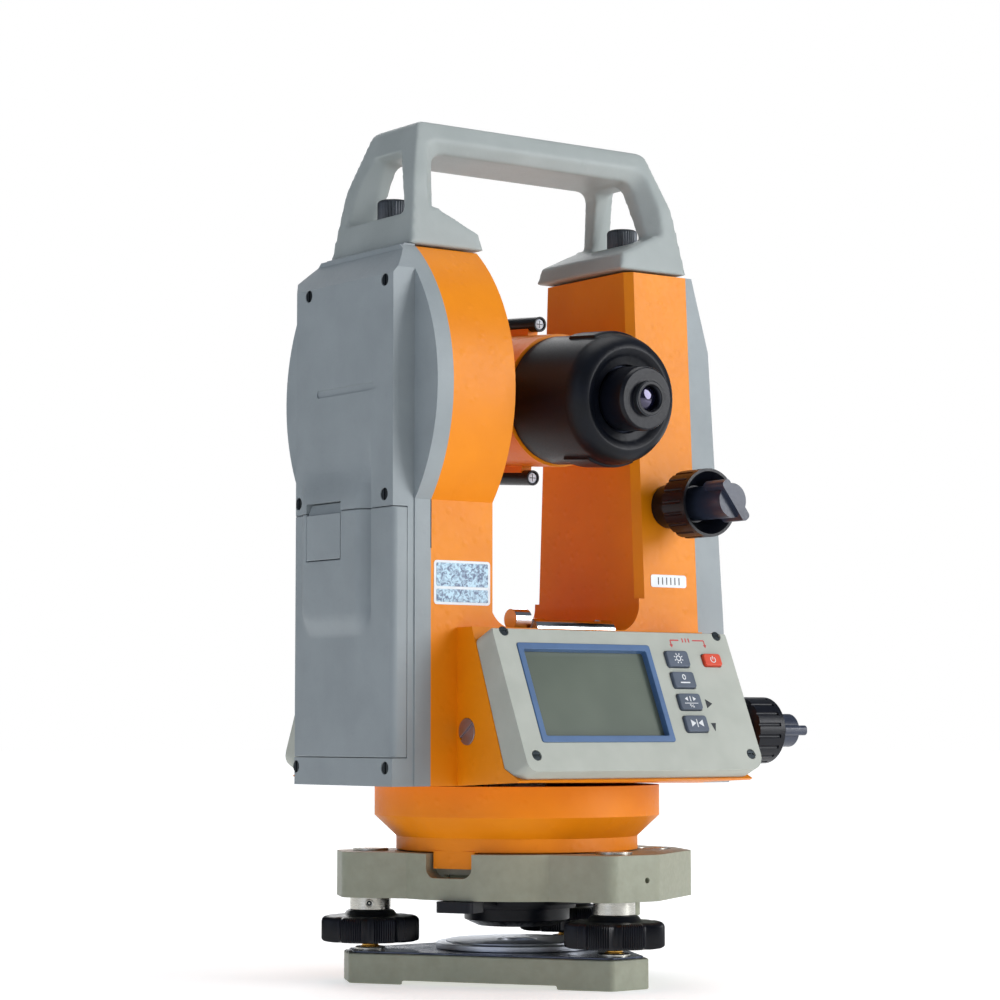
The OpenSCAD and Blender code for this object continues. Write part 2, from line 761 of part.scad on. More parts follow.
module handle() {
    bar_low = handle_top - 13;
    sill = handle_z0 + 13.6;
    lean = atan2(29.3 - 15.9, handle_top - handle_z0);
    function grip(grow, low) = rounded(
        [[-54.6 - grow, low], [-51 - grow, bar_low + grow], [51 + grow, bar_low + grow], [54.6 + grow, low]],
        [0, 6, 6, 0]);
    function window(grow) = rounded(
        [[-17 - grow, sill], [-8 - grow, bar_low - 1 + grow],
         [8 + grow, bar_low - 1 + grow], [17 + grow, sill]],
        [2, 3, 3, 2]);
    color("#a7adab") translate([handle_mid, 0, 0]) {
        difference() {
            intersection() {
                prism_y(-40, 40) polygon(rounded(
                    [[-70.4, handle_z0], [-66.3, 320], [-58.2, handle_top], [58.2, handle_top],
                     [66.3, 320], [70.4, handle_z0]], [0, 30, 5, 5, 30, 0]));
                prism_x(-80, 80) polygon(rounded(
                    [[-29.3, handle_z0], [-24.6, 320], [-15.9, handle_top], [15.9, handle_top],
                     [24.6, 320], [29.3, handle_z0]], [0, 30, 3, 3, 30, 0]));
            }
            // grip opening between the legs
            prism_y(-40, 40) polygon(concat(grip(0, 307.5), [
                [36.5, 299], [34.6, handle_z0 - 1], [-34.6, handle_z0 - 1], [-36.5, 299]
            ]));
            for (s = [-1, 1]) mirror([0, s > 0 ? 1 : 0, 0])
                translate([0, -15.9, handle_top]) rotate([-lean, 0, 0]) translate([0, 0, -handle_top])
                    lofted_y(4, grip(0, 307), -4, grip(8, 307));
            // windows through the two legs
            prism_x(-80, 80) polygon(window(0));
            for (s = [-1, 1]) mirror([s > 0 ? 1 : 0, 0, 0])
                lofted_x(-58, window(0), -74, window(7));
            for (s = [-1, 1]) translate([s * 59, 0, 0]) bar_z(3.4, handle_z0 - 5, sill + 1);
            for (s = [-1, 1]) translate([s * 59, 0, 0]) bar_z(7.2, sill - 1.2, sill + 14);
        }
        for (s = [-1, 1]) translate([s * 59, 0, 0]) tube_z(3.4, 6, standards_top, handle_z0 + 0.5);
    }
}

module handle_screw(i) {
    z0 = handle_z0 + 12.8;
    color("#45474a") translate([handle_screw_x[i], 0, 0]) {
        difference() {
            bar_z(6.5, z0, z0 + 9.3);
            for (k = [0 : 23]) rotate(k * 15) translate([6.75, 0, 0]) bar_z(0.5, z0 + 1, z0 + 8.2);
        }
        bar_z(3, 270, z0 + 1);
    }
}

// ---- telescope, in its own axes: origin on the tilting axis, eyepiece towards -Y ----

module on_trunnion() { translate([0, 0, trunnion_z]) rotate([telescope_tilt, 0, 0]) children(); }

module telescope_body() {
    hub = [left_in + 3.5, right_in - 3.5];
    color("#f0901c") on_trunnion() difference() {
        union() {
            bar_y(tube_r, -29.5, 46);
            bar_x(20, hub[0], hub[1]);
            bar_y(tube_r + 1.8, 46, 60);
            for (s = [-1, 1]) block([-2.5, -9, s > 0 ? 25 : -30], [2.5, 16, s > 0 ? 30 : -25]);
        }
        bar_y(20, -40, 70);
        bar_y(23.5, 50, 70);
        for (s = [-1, 1]) translate([0, 0, s * sight_z]) bar_y(sight_r, -20, 30);
    }
}

module telescope_barrel() {
    color("#17181c") on_trunnion() difference() {
        bar_y(20 - eps, -70, 40);
        bar_y(17, -66, 50);
        bar_y(9, -80, 0);
    }
}

module trunnion_axles() {
    color("#9a9d9f") on_trunnion() {
        bar_x(8, left_in - 22, left_in + 3.5);
        bar_x(8, right_in - 3.5, right_in + 22);
    }
}

module vertical_circle() {
    color("#c8d4cf") on_trunnion() difference() {
        bar_x(30, left_in - 19.2, left_in - 18);
        bar_x(8, left_in - 25, left_in);
    }
}

module objective_cell() {
    color("#17181c") on_trunnion() difference() {
        union() {
            bar_y(23.5 - eps, 51, 61);
            bar_y(27.6, 60, objective_end);
        }
        bar_y(objective_r, 63, 80);
        bar_y(objective_r - 2.5, 40, 80);
    }
}

module lenses() {
    color("#9fb8c0") on_trunnion() {
        intersection() {
            bar_y(objective_r, 60, 75);
            translate([0, 63 - 70 + 8, 0]) sphere(r = 70);
            bar_y(objective_r, 63, 72);
        }
        bar_y(16.9, 8, 12);
        bar_y(16.9, -50, -48.5);
    }
}

module sight_tubes() {
    color("#101219") on_trunnion() for (s = [-1, 1]) translate([0, 0, s * sight_z]) {
        difference() {
            bar_y(sight_r, -14, 20);
            bar_y(2.3, -20, 30);
        }
        bar_y(2.25, -13, -11.5);
        bar_y(2.25, 17, 18.5);
    }
}

module focusing_sleeve() {
    color("#0c0e18") on_trunnion() {
        turned_along_y([
            [20 + run_gap, 30.2], [sleeve_r, 30.2], [sleeve_r, 66.5], [sleeve_r - 0.7, 69.8],
            [sleeve_r - 2.2, 72.6], [sleeve_r - 4.4, 74.4], [sleeve_r - 6, 74.8], [sleeve_r - 7.8, 74.2],
            [sleeve_r - 9.6, 72.9], [13.3, 72.4], [13.3, 70.3], [20 + run_gap, 70.3]
        ]);
        for (a = [65, 245]) rotate([90, 0, 0]) rotate(a) rotate_extrude(angle = 50) polygon([
            [sleeve_r - 0.5, 48], [sleeve_r + 1.1, 48.6], [sleeve_r + 1.1, 64.8], [sleeve_r - 0.5, 66]
        ]);
    }
}

module eyepiece() {
    end = eyepiece_end;
    color("#17181c") on_trunnion() {
        turned_along_y([
            [5, 60], [9 - run_gap, 60], [9 - run_gap, 71.4], [12.4, 71.4], [12.7, 72.5], [12.7, end - 4],
            [11.9, end - 2.6], [6.8, end - 2.6], [6.8, end], [5.4, end], [5, end - 1.5]
        ]);
        bar_y(5 - run_gap, -end + 3, -end + 4);
    }
}

module front_key(i) { color("#4e5866") key(key_places[i], key_size, false); }
module rear_key(i) { color("#4e5866") key(key_places[i], key_size, true); }

base_plate();
spring_plate();
tripod_hub();
foot_screw(0);  // foot_screw_1
foot_screw(1);  // foot_screw_2
foot_screw(2);  // foot_screw_3
foot_sleeves();
tribrach_body();
tribrach_bowl();
lock_lever();
circular_level();
circular_level_glass();
collar_ring();
axis_bush();
horizontal_circle();
axis_spindle();
body_frame();
encoder_readers();
left_cover();
right_cover();
cover_screws();
side_plugs();
battery();
battery_latch();
circuit_boards();
front_panel_cover();
rear_panel_cover();
panel_screws();
lcd_frames();
lcd_glasses();
front_key(0);  // front_key_light
front_key(1);  // front_key_zero
front_key(2);  // front_key_angle
front_key(3);  // front_key_percent
color("#d6492a") key(power_place, power_key_size, false);  // front_key_power
rear_key(0);  // rear_key_light
rear_key(1);  // rear_key_zero
rear_key(2);  // rear_key_angle
rear_key(3);  // rear_key_percent
color("#d6492a") key(power_place, power_key_size, true);  // rear_key_power
plate_level_tube();
plate_level_vial();
trunnion_bearings();
knob_sleeves();
vertical_tangent_ring();
vertical_clamp_cap();
horizontal_tangent_ring();
horizontal_clamp_cap();
handle();
handle_screw(0);  // handle_screw_left
handle_screw(1);  // handle_screw_right
telescope_body();
telescope_barrel();
trunnion_axles();
vertical_circle();
objective_cell();
lenses();
sight_tubes();
focusing_sleeve();
eyepiece();
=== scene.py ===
# Surveying total station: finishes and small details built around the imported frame.
import json
import math

import bmesh
import bpy
from mathutils import Matrix, Vector


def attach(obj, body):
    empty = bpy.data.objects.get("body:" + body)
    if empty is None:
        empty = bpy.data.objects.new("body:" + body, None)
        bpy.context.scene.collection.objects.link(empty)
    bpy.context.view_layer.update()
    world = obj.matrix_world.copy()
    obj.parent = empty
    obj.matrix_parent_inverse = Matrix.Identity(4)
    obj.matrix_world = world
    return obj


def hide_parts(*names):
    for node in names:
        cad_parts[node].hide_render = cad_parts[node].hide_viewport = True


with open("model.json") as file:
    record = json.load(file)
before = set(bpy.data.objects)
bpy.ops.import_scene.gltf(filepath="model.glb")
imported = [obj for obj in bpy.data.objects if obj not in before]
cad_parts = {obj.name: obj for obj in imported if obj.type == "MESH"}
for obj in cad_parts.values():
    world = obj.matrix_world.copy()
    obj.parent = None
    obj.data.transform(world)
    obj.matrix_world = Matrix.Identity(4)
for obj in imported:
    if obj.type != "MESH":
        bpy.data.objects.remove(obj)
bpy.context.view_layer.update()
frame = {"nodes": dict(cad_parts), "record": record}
cadNodes = frame["nodes"]
slotOfNode = {part["node"]: part["material_slot"] for part in frame["record"]["subparts"]}
bodyOfNode = {
    node: body
    for body, members in frame["record"]["behaviour"]["bodies"].items()
    for node in members
}
mm = 0.001
upper = {   # sizes of the turning body in mm, as in the frame
    "footZ": 79.5, "topZ": 291, "gapFloorZ": 141, "trunnionZ": 236.9, "parkedDeg": 4.5,
    "leftSeamX": -70.5, "rightSeamX": 67, "leftHalf": 39.5, "rightHalfLow": 39.1, "rightHalfTop": 29,
    "bulgeRadius": 73, "bulgeShift": 18.2, "bulgeZ": 235,
    "panelY": -62, "panelZ": 139.9, "panelLeanDeg": 23.95,
}
lower = {   # where the foot screws and the round level stand, in degrees and mm
    "footAngles": (273, 153, 33), "footRadius": 60.2, "levelDeg": 333, "levelRadius": 56,
}
print("frame loaded:", len(cadNodes), "nodes")


# Colours and nodes

def linear(hexColour):
    channels = [int(hexColour[i:i + 2], 16) / 255 for i in (1, 3, 5)]
    return tuple(c / 12.92 if c <= 0.04045 else ((c + 0.055) / 1.055) ** 2.4 for c in channels) + (1.0,)


def addNode(tree, kind, settings=None, links=None):
    # settings name a node property, an input socket or its number, or the stops of a colour ramp;
    # links give each input the node whose first output, or the socket, that feeds it
    node = tree.nodes.new("ShaderNode" + kind)
    for name, value in (settings or {}).items():
        if name == "stops":
            for element, (position, hexColour) in zip(node.color_ramp.elements, value):
                element.position = position
                element.color = linear(hexColour)
        elif isinstance(name, int) or name in node.inputs:
            node.inputs[name].default_value = value
        else:
            setattr(node, name, value)
    for name, source in (links or {}).items():
        tree.links.new(source.outputs[0] if hasattr(source, "outputs") else source, node.inputs[name])
    return node


def newMaterial(name, settings):
    material = bpy.data.materials.new(name)
    material.use_nodes = True
    tree = material.node_tree
    shader = tree.nodes["Principled BSDF"]
    for socket, value in settings.items():
        shader.inputs[socket].default_value = value
    material.diffuse_color = shader.inputs["Base Color"].default_value
    place = addNode(tree, "TexCoord").outputs["Object"]
    return material, tree, shader, place


def feed(tree, shader, **sources):
    # joins finished patterns to the shader's sockets, by their names
    for name, source in sources.items():
        tree.links.new(source.outputs[0], shader.inputs[{"colour": "Base Color"}.get(name, name)])


def perMm(sizeMm):
    return 1 / (sizeMm * mm)   # pattern scale whose blotches or grains are sizeMm wide


# Paints and plastics

def powderCoat(name, look):
    # Powder coat baked on cast aluminium: satin, an even colour with a faint mottle, and
    # orange peel with scattered specks that break every highlight.
    material, tree, shader, place = newMaterial(name, {
        "Base Color": linear(look["colour"]), "IOR": 1.5, "Specular IOR Level": look["shine"],
    })
    mottle = addNode(tree, "TexNoise", {"Scale": perMm(look["mottleMm"]), "Detail": 3.0}, {"Vector": place})
    peel = addNode(tree, "TexNoise", {"Scale": perMm(look["peelMm"]), "Roughness": 0.6}, {"Vector": place})
    speck = addNode(tree, "TexVoronoi", {"Scale": perMm(look["speckMm"])}, {"Vector": place})
    dot = addNode(tree, "MapRange", {"From Min": 0.3, "From Max": 0.0, "To Max": 1.0}, {"Value": speck})
    gloss = addNode(tree, "MapRange", {
        "From Min": 0.3, "From Max": 0.7, "To Min": look["roughLow"], "To Max": look["roughHigh"],
    }, {"Value": peel})
    grain = addNode(tree, "Bump", {"Strength": 1.0, "Distance": look["peelDepthMm"] * mm}, {"Height": peel})
    rough = addNode(tree, "Bump", {"Strength": 1.0, "Distance": look["speckDepthMm"] * mm},
                    {"Height": dot, "Normal": grain})
    tint = addNode(tree, "ValToRGB", {"stops": ((0.35, look["deep"]), (0.65, look["colour"]))},
                   {"Fac": mottle})
    feed(tree, shader, colour=tint, Roughness=gloss, Normal=rough)
    return material


orangePaint = powderCoat("orange powder coat", {
    "colour": "#EE8C00", "deep": "#E88600", "shine": 0.3,
    "mottleMm": 22, "peelMm": 1.3, "peelDepthMm": 0.035, "speckMm": 5.5, "speckDepthMm": 0.12,
    "roughLow": 0.4, "roughHigh": 0.52,
})
greyPaint = powderCoat("light grey powder coat", {
    "colour": "#A3AAA8", "deep": "#9CA3A1", "shine": 0.4,
    "mottleMm": 18, "peelMm": 1.0, "peelDepthMm": 0.03, "speckMm": 5.0, "speckDepthMm": 0.06,
    "roughLow": 0.45, "roughHigh": 0.58,
})
coverPaint = powderCoat("slate grey powder coat", {
    "colour": "#969EA1", "deep": "#8F979A", "shine": 0.4,
    "mottleMm": 20, "peelMm": 1.0, "peelDepthMm": 0.025, "speckMm": 5.0, "speckDepthMm": 0.05,
    "roughLow": 0.45, "roughHigh": 0.58,
})


def hammeredEnamel(look):
    # Hammered enamel on cast iron: greenish grey with shallow dimples about 1.5 mm wide,
    # which give a soft pebbled sheen.
    material, tree, shader, place = newMaterial("hammered enamel", {
        "Base Color": linear(look["colour"]), "IOR": 1.5,
    })
    drift = addNode(tree, "TexNoise", {"Scale": perMm(3)}, {"Vector": place})
    bent = addNode(tree, "VectorMath", {"operation": "MULTIPLY_ADD", 1: (0.6 * mm,) * 3},
                   {0: drift.outputs["Color"], 2: place})
    dimples = addNode(tree, "TexVoronoi", {
        "feature": "SMOOTH_F1", "Scale": perMm(look["dimpleMm"]), "Smoothness": 0.6}, {"Vector": bent})
    mottle = addNode(tree, "TexNoise", {"Scale": perMm(look["mottleMm"]), "Detail": 4.0}, {"Vector": place})
    tint = addNode(tree, "ValToRGB", {"stops": ((0.3, look["deep"]), (0.7, look["colour"]))},
                   {"Fac": mottle})
    gloss = addNode(tree, "MapRange", {"From Max": 0.6, "To Min": 0.36, "To Max": 0.5}, {"Value": dimples})
    pebbles = addNode(tree, "Bump", {"Strength": 1.0, "Distance": look["dimpleDepthMm"] * mm},
                      {"Height": dimples})
    feed(tree, shader, colour=tint, Roughness=gloss, Normal=pebbles)
    return material


enamel = hammeredEnamel({
    "colour": "#989B88", "deep": "#8F927F", "dimpleMm": 1.7, "dimpleDepthMm": 0.07, "mottleMm": 5,
})


def mouldedPlastic(name, look):
    # Injection-moulded plastic or pressed rubber: one colour, a spark-eroded grain that dulls
    # the gloss a little, and a slow drift of tone from the mould.
    material, tree, shader, place = newMaterial(name, {
        "Base Color": linear(look["colour"]), "IOR": look.get("ior", 1.5),
        "Sheen Weight": look.get("sheen", 0.0), "Specular IOR Level": look.get("shine", 0.5),
    })
    grain = addNode(tree, "TexNoise", {"Scale": perMm(look["grainMm"]), "Roughness": 0.6},
                    {"Vector": place})
    drift = addNode(tree, "TexNoise", {"Scale": perMm(look["grainMm"] * 18)}, {"Vector": place})
    tint = addNode(tree, "ValToRGB", {"stops": ((0.35, look["deep"]), (0.65, look["colour"]))},
                   {"Fac": drift})
    gloss = addNode(tree, "MapRange", {
        "From Min": 0.3, "From Max": 0.7, "To Min": look["roughLow"], "To Max": look["roughHigh"],
    }, {"Value": grain})
    fine = addNode(tree, "Bump", {"Strength": 1.0, "Distance": look["grainDepthMm"] * mm},
                   {"Height": grain})
    feed(tree, shader, colour=tint, Roughness=gloss, Normal=fine)
    return material


keypadPlastic = mouldedPlastic("keypad polycarbonate", {
    "colour": "#B4B8AE", "deep": "#ADB1A7", "grainMm": 0.7, "grainDepthMm": 0.02,
    "roughLow": 0.45, "roughHigh": 0.6,
})
blackPlastic = mouldedPlastic("black moulded nylon", {
    "colour": "#0D101A", "deep": "#090B12", "grainMm": 0.8, "grainDepthMm": 0.012,
    "roughLow": 0.28, "roughHigh": 0.4,
    "shine": 0.25,
})
capPlastic = mouldedPlastic("slate moulded nylon", {
    "colour": "#343B4C", "deep": "#2A3040", "grainMm": 0.8, "grainDepthMm": 0.012,
    "roughLow": 0.3, "roughHigh": 0.42,
})
softRubber = mouldedPlastic("soft-touch rubber", {
    "colour": "#090D17", "deep": "#060910", "grainMm": 0.6, "grainDepthMm": 0.015,
    "roughLow": 0.36, "roughHigh": 0.46,
    "shine": 0.22,
})
keyRubber = mouldedPlastic("grey silicone rubber", {
    "colour": "#566070", "deep": "#4C5664", "grainMm": 0.5, "grainDepthMm": 0.012,
    "roughLow": 0.45, "roughHigh": 0.58,
    "ior": 1.42, "sheen": 0.1,
})
redRubber = mouldedPlastic("red silicone rubber", {
    "colour": "#E04A28", "deep": "#D04020", "grainMm": 0.5, "grainDepthMm": 0.012,
    "roughLow": 0.4, "roughHigh": 0.52,
    "ior": 1.42, "sheen": 0.1,
})
blueFrame = mouldedPlastic("blue display bezel", {
    "colour": "#4A6C98", "deep": "#44648E", "grainMm": 0.6, "grainDepthMm": 0.01,
    "roughLow": 0.34, "roughHigh": 0.46,
})
whiteInk = mouldedPlastic("white pad-printing ink", {
    "colour": "#E6E8EA", "deep": "#DADCDE", "grainMm": 0.3, "grainDepthMm": 0.003,
    "roughLow": 0.5, "roughHigh": 0.6,
})
blackInk = mouldedPlastic("black pad-printing ink", {
    "colour": "#20242A", "deep": "#191C21", "grainMm": 0.3, "grainDepthMm": 0.003,
    "roughLow": 0.5, "roughHigh": 0.6,
})
redInk = mouldedPlastic("red pad-printing ink", {
    "colour": "#CC4A48", "deep": "#C04040", "grainMm": 0.3, "grainDepthMm": 0.003,
    "roughLow": 0.5, "roughHigh": 0.6,
})
labelFilm = mouldedPlastic("white polyester label", {
    "colour": "#E2E7EA", "deep": "#DCE1E5", "grainMm": 0.4, "grainDepthMm": 0.003,
    "roughLow": 0.3, "roughHigh": 0.4,
})
frostedWindow = mouldedPlastic("frosted acrylic", {
    "colour": "#D4DCE6", "deep": "#C2CCD8", "grainMm": 0.4, "grainDepthMm": 0.01,
    "roughLow": 0.25, "roughHigh": 0.4,
})
solderMask = mouldedPlastic("solder mask on fibreglass", {
    "colour": "#2E6B4A", "deep": "#265C3E", "grainMm": 1.2, "grainDepthMm": 0.03,
    "roughLow": 0.3, "roughHigh": 0.45,
})


# Metals, glass and labels

def turnedMetal(name, look):
    # Turned or ground metal: tool rings too fine to see are drawn a few tenths of a millimetre
    # apart, so that the highlight is brushed out along the cut.
    material, tree, shader, place = newMaterial(name, {
        "Base Color": linear(look["colour"]), "Metallic": 1.0,
    })
    along = addNode(tree, "Mapping", {"Scale": look["stretch"]}, {"Vector": place})
    rings = addNode(tree, "TexNoise", {"Scale": perMm(look["ringMm"] * 8)}, {"Vector": along})
    stain = addNode(tree, "TexNoise", {"Scale": perMm(6), "Detail": 3.0}, {"Vector": place})
    tint = addNode(tree, "ValToRGB", {"stops": ((0.35, look["deep"]), (0.65, look["colour"]))},
                   {"Fac": stain})
    gloss = addNode(tree, "MapRange", {
        "From Min": 0.3, "From Max": 0.7, "To Min": look["roughLow"], "To Max": look["roughHigh"],
    }, {"Value": rings})
    cut = addNode(tree, "Bump", {"Strength": 1.0, "Distance": look["ringDepthMm"] * mm}, {"Height": rings})
    feed(tree, shader, colour=tint, Roughness=gloss, Normal=cut)
    return material


acrossZ, acrossY, evenly = (0.5, 0.5, 8), (0.5, 8, 0.5), (1, 1, 1)
turnedSteel = turnedMetal("turned steel", {
    "colour": "#CFCDC4", "deep": "#BBB9B0", "ringMm": 0.35, "ringDepthMm": 0.01, "stretch": acrossZ,
    "roughLow": 0.22, "roughHigh": 0.34,
})
chromedSteel = turnedMetal("chromed steel", {
    "colour": "#D6D8DA", "deep": "#CACCCE", "ringMm": 0.6, "ringDepthMm": 0.003, "stretch": evenly,
    "roughLow": 0.08, "roughHigh": 0.16,
})
satinSteel = turnedMetal("blasted stainless steel", {
    "colour": "#A9A3AC", "deep": "#98929C", "ringMm": 0.4, "ringDepthMm": 0.01, "stretch": evenly,
    "roughLow": 0.42, "roughHigh": 0.56,
})
turnedBrass = turnedMetal("turned brass", {
    "colour": "#C9A050", "deep": "#A87B33", "ringMm": 0.35, "ringDepthMm": 0.012, "stretch": acrossZ,
    "roughLow": 0.2, "roughHigh": 0.32,
})
greyAnodised = turnedMetal("grey anodised aluminium", {
    "colour": "#D4D8E0", "deep": "#C8CCD4", "ringMm": 0.4, "ringDepthMm": 0.006, "stretch": acrossZ,
    "roughLow": 0.34, "roughHigh": 0.46,
})
blackAnodised = turnedMetal("black anodised aluminium", {
    "colour": "#262932", "deep": "#1C1F27", "ringMm": 0.4, "ringDepthMm": 0.006, "stretch": acrossY,
    "roughLow": 0.34, "roughHigh": 0.48,
})
blackOxide = turnedMetal("black oxide steel", {
    "colour": "#3A4044", "deep": "#2C3134", "ringMm": 0.5, "ringDepthMm": 0.006, "stretch": evenly,
    "roughLow": 0.3, "roughHigh": 0.44,
})
springSteel = turnedMetal("blued spring steel", {
    "colour": "#4A4F5C", "deep": "#3C404B", "ringMm": 1.0, "ringDepthMm": 0.004, "stretch": evenly,
    "roughLow": 0.14, "roughHigh": 0.26,
})
knobGrey = turnedMetal("grey anodised knurl", {
    "colour": "#5C5F63", "deep": "#505357", "ringMm": 0.5, "ringDepthMm": 0.006, "stretch": acrossZ,
    "roughLow": 0.36, "roughHigh": 0.5,
})


def clearGlass(name, look):
    # Polished glass or acrylic with a thin coating: clear, with a tinted glint and faint dust.
    material, tree, shader, place = newMaterial(name, {
        "Base Color": linear(look["colour"]), "IOR": look["ior"], "Transmission Weight": look["clear"],
        "Coat Weight": look["coat"], "Coat Tint": linear(look["coatTint"]), "Coat Roughness": 0.02,
    })
    dust = addNode(tree, "TexNoise", {"Scale": perMm(5), "Detail": 3.0}, {"Vector": place})
    gloss = addNode(tree, "MapRange", {"From Min": 0.3, "From Max": 0.7, "To Min": 0.02, "To Max": 0.07},
                    {"Value": dust})
    feed(tree, shader, Roughness=gloss)
    return material


lensGlass = clearGlass("coated lens glass", {
    "colour": "#B8C8D4", "ior": 1.6, "clear": 0.85, "coat": 0.8, "coatTint": "#8FA8E8",
})
eyeGlass = clearGlass("eye lens glass", {
    "colour": "#0C1018", "ior": 1.6, "clear": 0.0, "coat": 1.0, "coatTint": "#B8A8F0",
})
circleGlass = clearGlass("graduated circle glass", {
    "colour": "#CFE0DA", "ior": 1.52, "clear": 0.7, "coat": 0.0, "coatTint": "#FFFFFF",
})
levelFluid = clearGlass("level fluid behind glass", {
    "colour": "#C3DC84", "ior": 1.47, "clear": 0.25, "coat": 0.6, "coatTint": "#FFFFFF",
})
bubbleGlass = clearGlass("bubble in the level", {
    "colour": "#E6F0C8", "ior": 1.3, "clear": 0.2, "coat": 0.6, "coatTint": "#FFFFFF",
})


def displayWindow(look):
    # Twisted-nematic display behind a clear window: flat grey-green, with the dot matrix
    # just visible as a grid. The real 0.3 mm dots are drawn at 0.8 mm so that they show.
    material, tree, shader, place = newMaterial("liquid crystal display", {
        "Base Color": linear(look["colour"]), "IOR": 1.49, "Roughness": 0.25,
        "Coat Weight": 0.35, "Coat Roughness": 0.05,
    })
    cloud = addNode(tree, "TexNoise", {"Scale": perMm(30)}, {"Vector": place})
    tint = addNode(tree, "ValToRGB", {"stops": ((0.35, look["deep"]), (0.65, look["colour"]))},
                   {"Fac": cloud})
    dots = addNode(tree, "TexBrick", {
        "offset": 0.0, "Scale": perMm(look["dotMm"]), "Mortar Size": 0.07,
        "Brick Width": 1.0, "Row Height": 1.0,
        "Mortar": linear(look["grid"]), "Mortar Smooth": 0.3,
    }, {"Vector": place, "Color1": tint, "Color2": tint})
    feed(tree, shader, colour=dots)
    return material


display = displayWindow({"colour": "#666F62", "deep": "#5D665A", "dotMm": 0.8, "grid": "#5F685C"})


def foilLabel(look):
    # Embossed security foil: pale silver that breaks into small blue and mint patches.
    material, tree, shader, place = newMaterial("embossed foil", {
        "Base Color": linear(look["light"]), "Metallic": 0.35,
    })
    drift = addNode(tree, "TexNoise", {"Scale": perMm(look["patchMm"]), "Detail": 3.0, "Distortion": 1.2},
                    {"Vector": place})
    tint = addNode(tree, "ValToRGB", {"stops": ((0.38, look["dark"]), (0.62, look["light"]))},
                   {"Fac": drift})
    gloss = addNode(tree, "MapRange", {"From Min": 0.3, "From Max": 0.7, "To Min": 0.28, "To Max": 0.5},
                    {"Value": drift})
    feed(tree, shader, colour=tint, Roughness=gloss)
    return material


foil = foilLabel({"light": "#A4BECC", "dark": "#36415A", "patchMm": 1.8})
print("materials made:", len(bpy.data.materials))


# Mesh helpers, all in millimetres

def keepPiece(piece, body, slotName, material, *replaced):
    piece.data.materials.clear()
    piece.data.materials.append(material)
    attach(piece, body)
    if replaced:
        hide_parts(*replaced)
    return piece


def meshPiece(name, solids, place, body, slotName, material, *replaced, sharpDeg=32, easeMm=0.0):
    shape = bmesh.new()
    for points, faces in solids:
        corners = [shape.verts.new(Vector(point) * mm) for point in points]
        for face in faces:
            shape.faces.new([corners[i] for i in face])
    bmesh.ops.remove_doubles(shape, verts=shape.verts, dist=0.001 * mm)
    bmesh.ops.recalc_face_normals(shape, faces=shape.faces)
    mesh = bpy.data.meshes.new(name)
    shape.to_mesh(mesh)
    shape.free()
    mesh.shade_smooth()
    mesh.set_sharp_from_angle(angle=math.radians(sharpDeg))
    piece = bpy.data.objects.new(name, mesh)
    bpy.context.scene.collection.objects.link(piece)
    turn = place.copy()
    turn.translation = place.translation * mm
    piece.matrix_world = turn
    if easeMm:
        bevel = piece.modifiers.new("eased edges", "BEVEL")
        bevel.width = easeMm * mm
        bevel.segments = 2
        bevel.angle_limit = math.radians(sharpDeg)
    return keepPiece(piece, body, slotName, material, *replaced)


def spun(profile, anglesDeg=None, dip=None):
    # closed profile of (radius, height) turned about Z; dip gives how far the rim sinks at an angle
    anglesDeg = anglesDeg or [360 * i / 72 for i in range(72)]
    points, faces = [], []
    for angle in anglesDeg:
        sink = dip(angle) if dip else 0
        for radius, height, *follow in profile:
            reach = radius - sink * (follow[0] if follow else 0)
            turn = math.radians(angle)
            points.append((reach * math.cos(turn), reach * math.sin(turn), height))
    count, rings = len(profile), len(anglesDeg)
    for i in range(rings):
        for k in range(count):
            j, m = (i + 1) % rings, (k + 1) % count
            quad = [i * count + k, j * count + k, j * count + m, i * count + m]
            if profile[k][0] == 0 and profile[m][0] == 0:
                continue
            if profile[k][0] == 0:
                quad = [i * count + k, j * count + m, i * count + m]
            elif profile[m][0] == 0:
                quad = [i * count + k, j * count + k, i * count + m]
            faces.append(quad)
    return points, faces


def prism(outline, low, high):
    count = len(outline)
    points = [(x, y, low) for x, y in outline] + [(x, y, high) for x, y in outline]
    sides = [[i, (i + 1) % count, count + (i + 1) % count, count + i] for i in range(count)]
    return points, [list(range(count)), list(range(count, 2 * count))] + sides


def stroke(route, width, low, high, closed=False):
    # a line of ink or a raised rib of even width along a route of (x, y) points
    count, points = len(route), []
    for i, (x, y) in enumerate(route):
        before = route[i - 1] if closed or i else route[i]
        after = route[(i + 1) % count] if closed or i < count - 1 else route[i]
        way = Vector((after[0] - before[0], after[1] - before[1])).normalized() * width / 2
        points += [(x - way.y, y + way.x, low), (x + way.y, y - way.x, low),
                   (x + way.y, y - way.x, high), (x - way.y, y + way.x, high)]
    faces = [
        [4 * i + k, 4 * i + (k + 1) % 4, 4 * ((i + 1) % count) + (k + 1) % 4, 4 * ((i + 1) % count) + k]
        for i in range(count if closed else count - 1) for k in range(4)
    ]
    if not closed:
        faces += [[0, 1, 2, 3], [4 * count - 4 + k for k in range(4)]]
    return points, faces


def roundRect(x0, y0, x1, y1, radius, steps=5):
    centres = ((x1 - radius, y1 - radius, 0), (x0 + radius, y1 - radius, 90),
               (x0 + radius, y0 + radius, 180), (x1 - radius, y0 + radius, 270))
    return [
        (x + radius * math.cos(math.radians(start + 90 * k / steps)),
         y + radius * math.sin(math.radians(start + 90 * k / steps)))
        for x, y, start in centres for k in range(steps + 1)
    ]


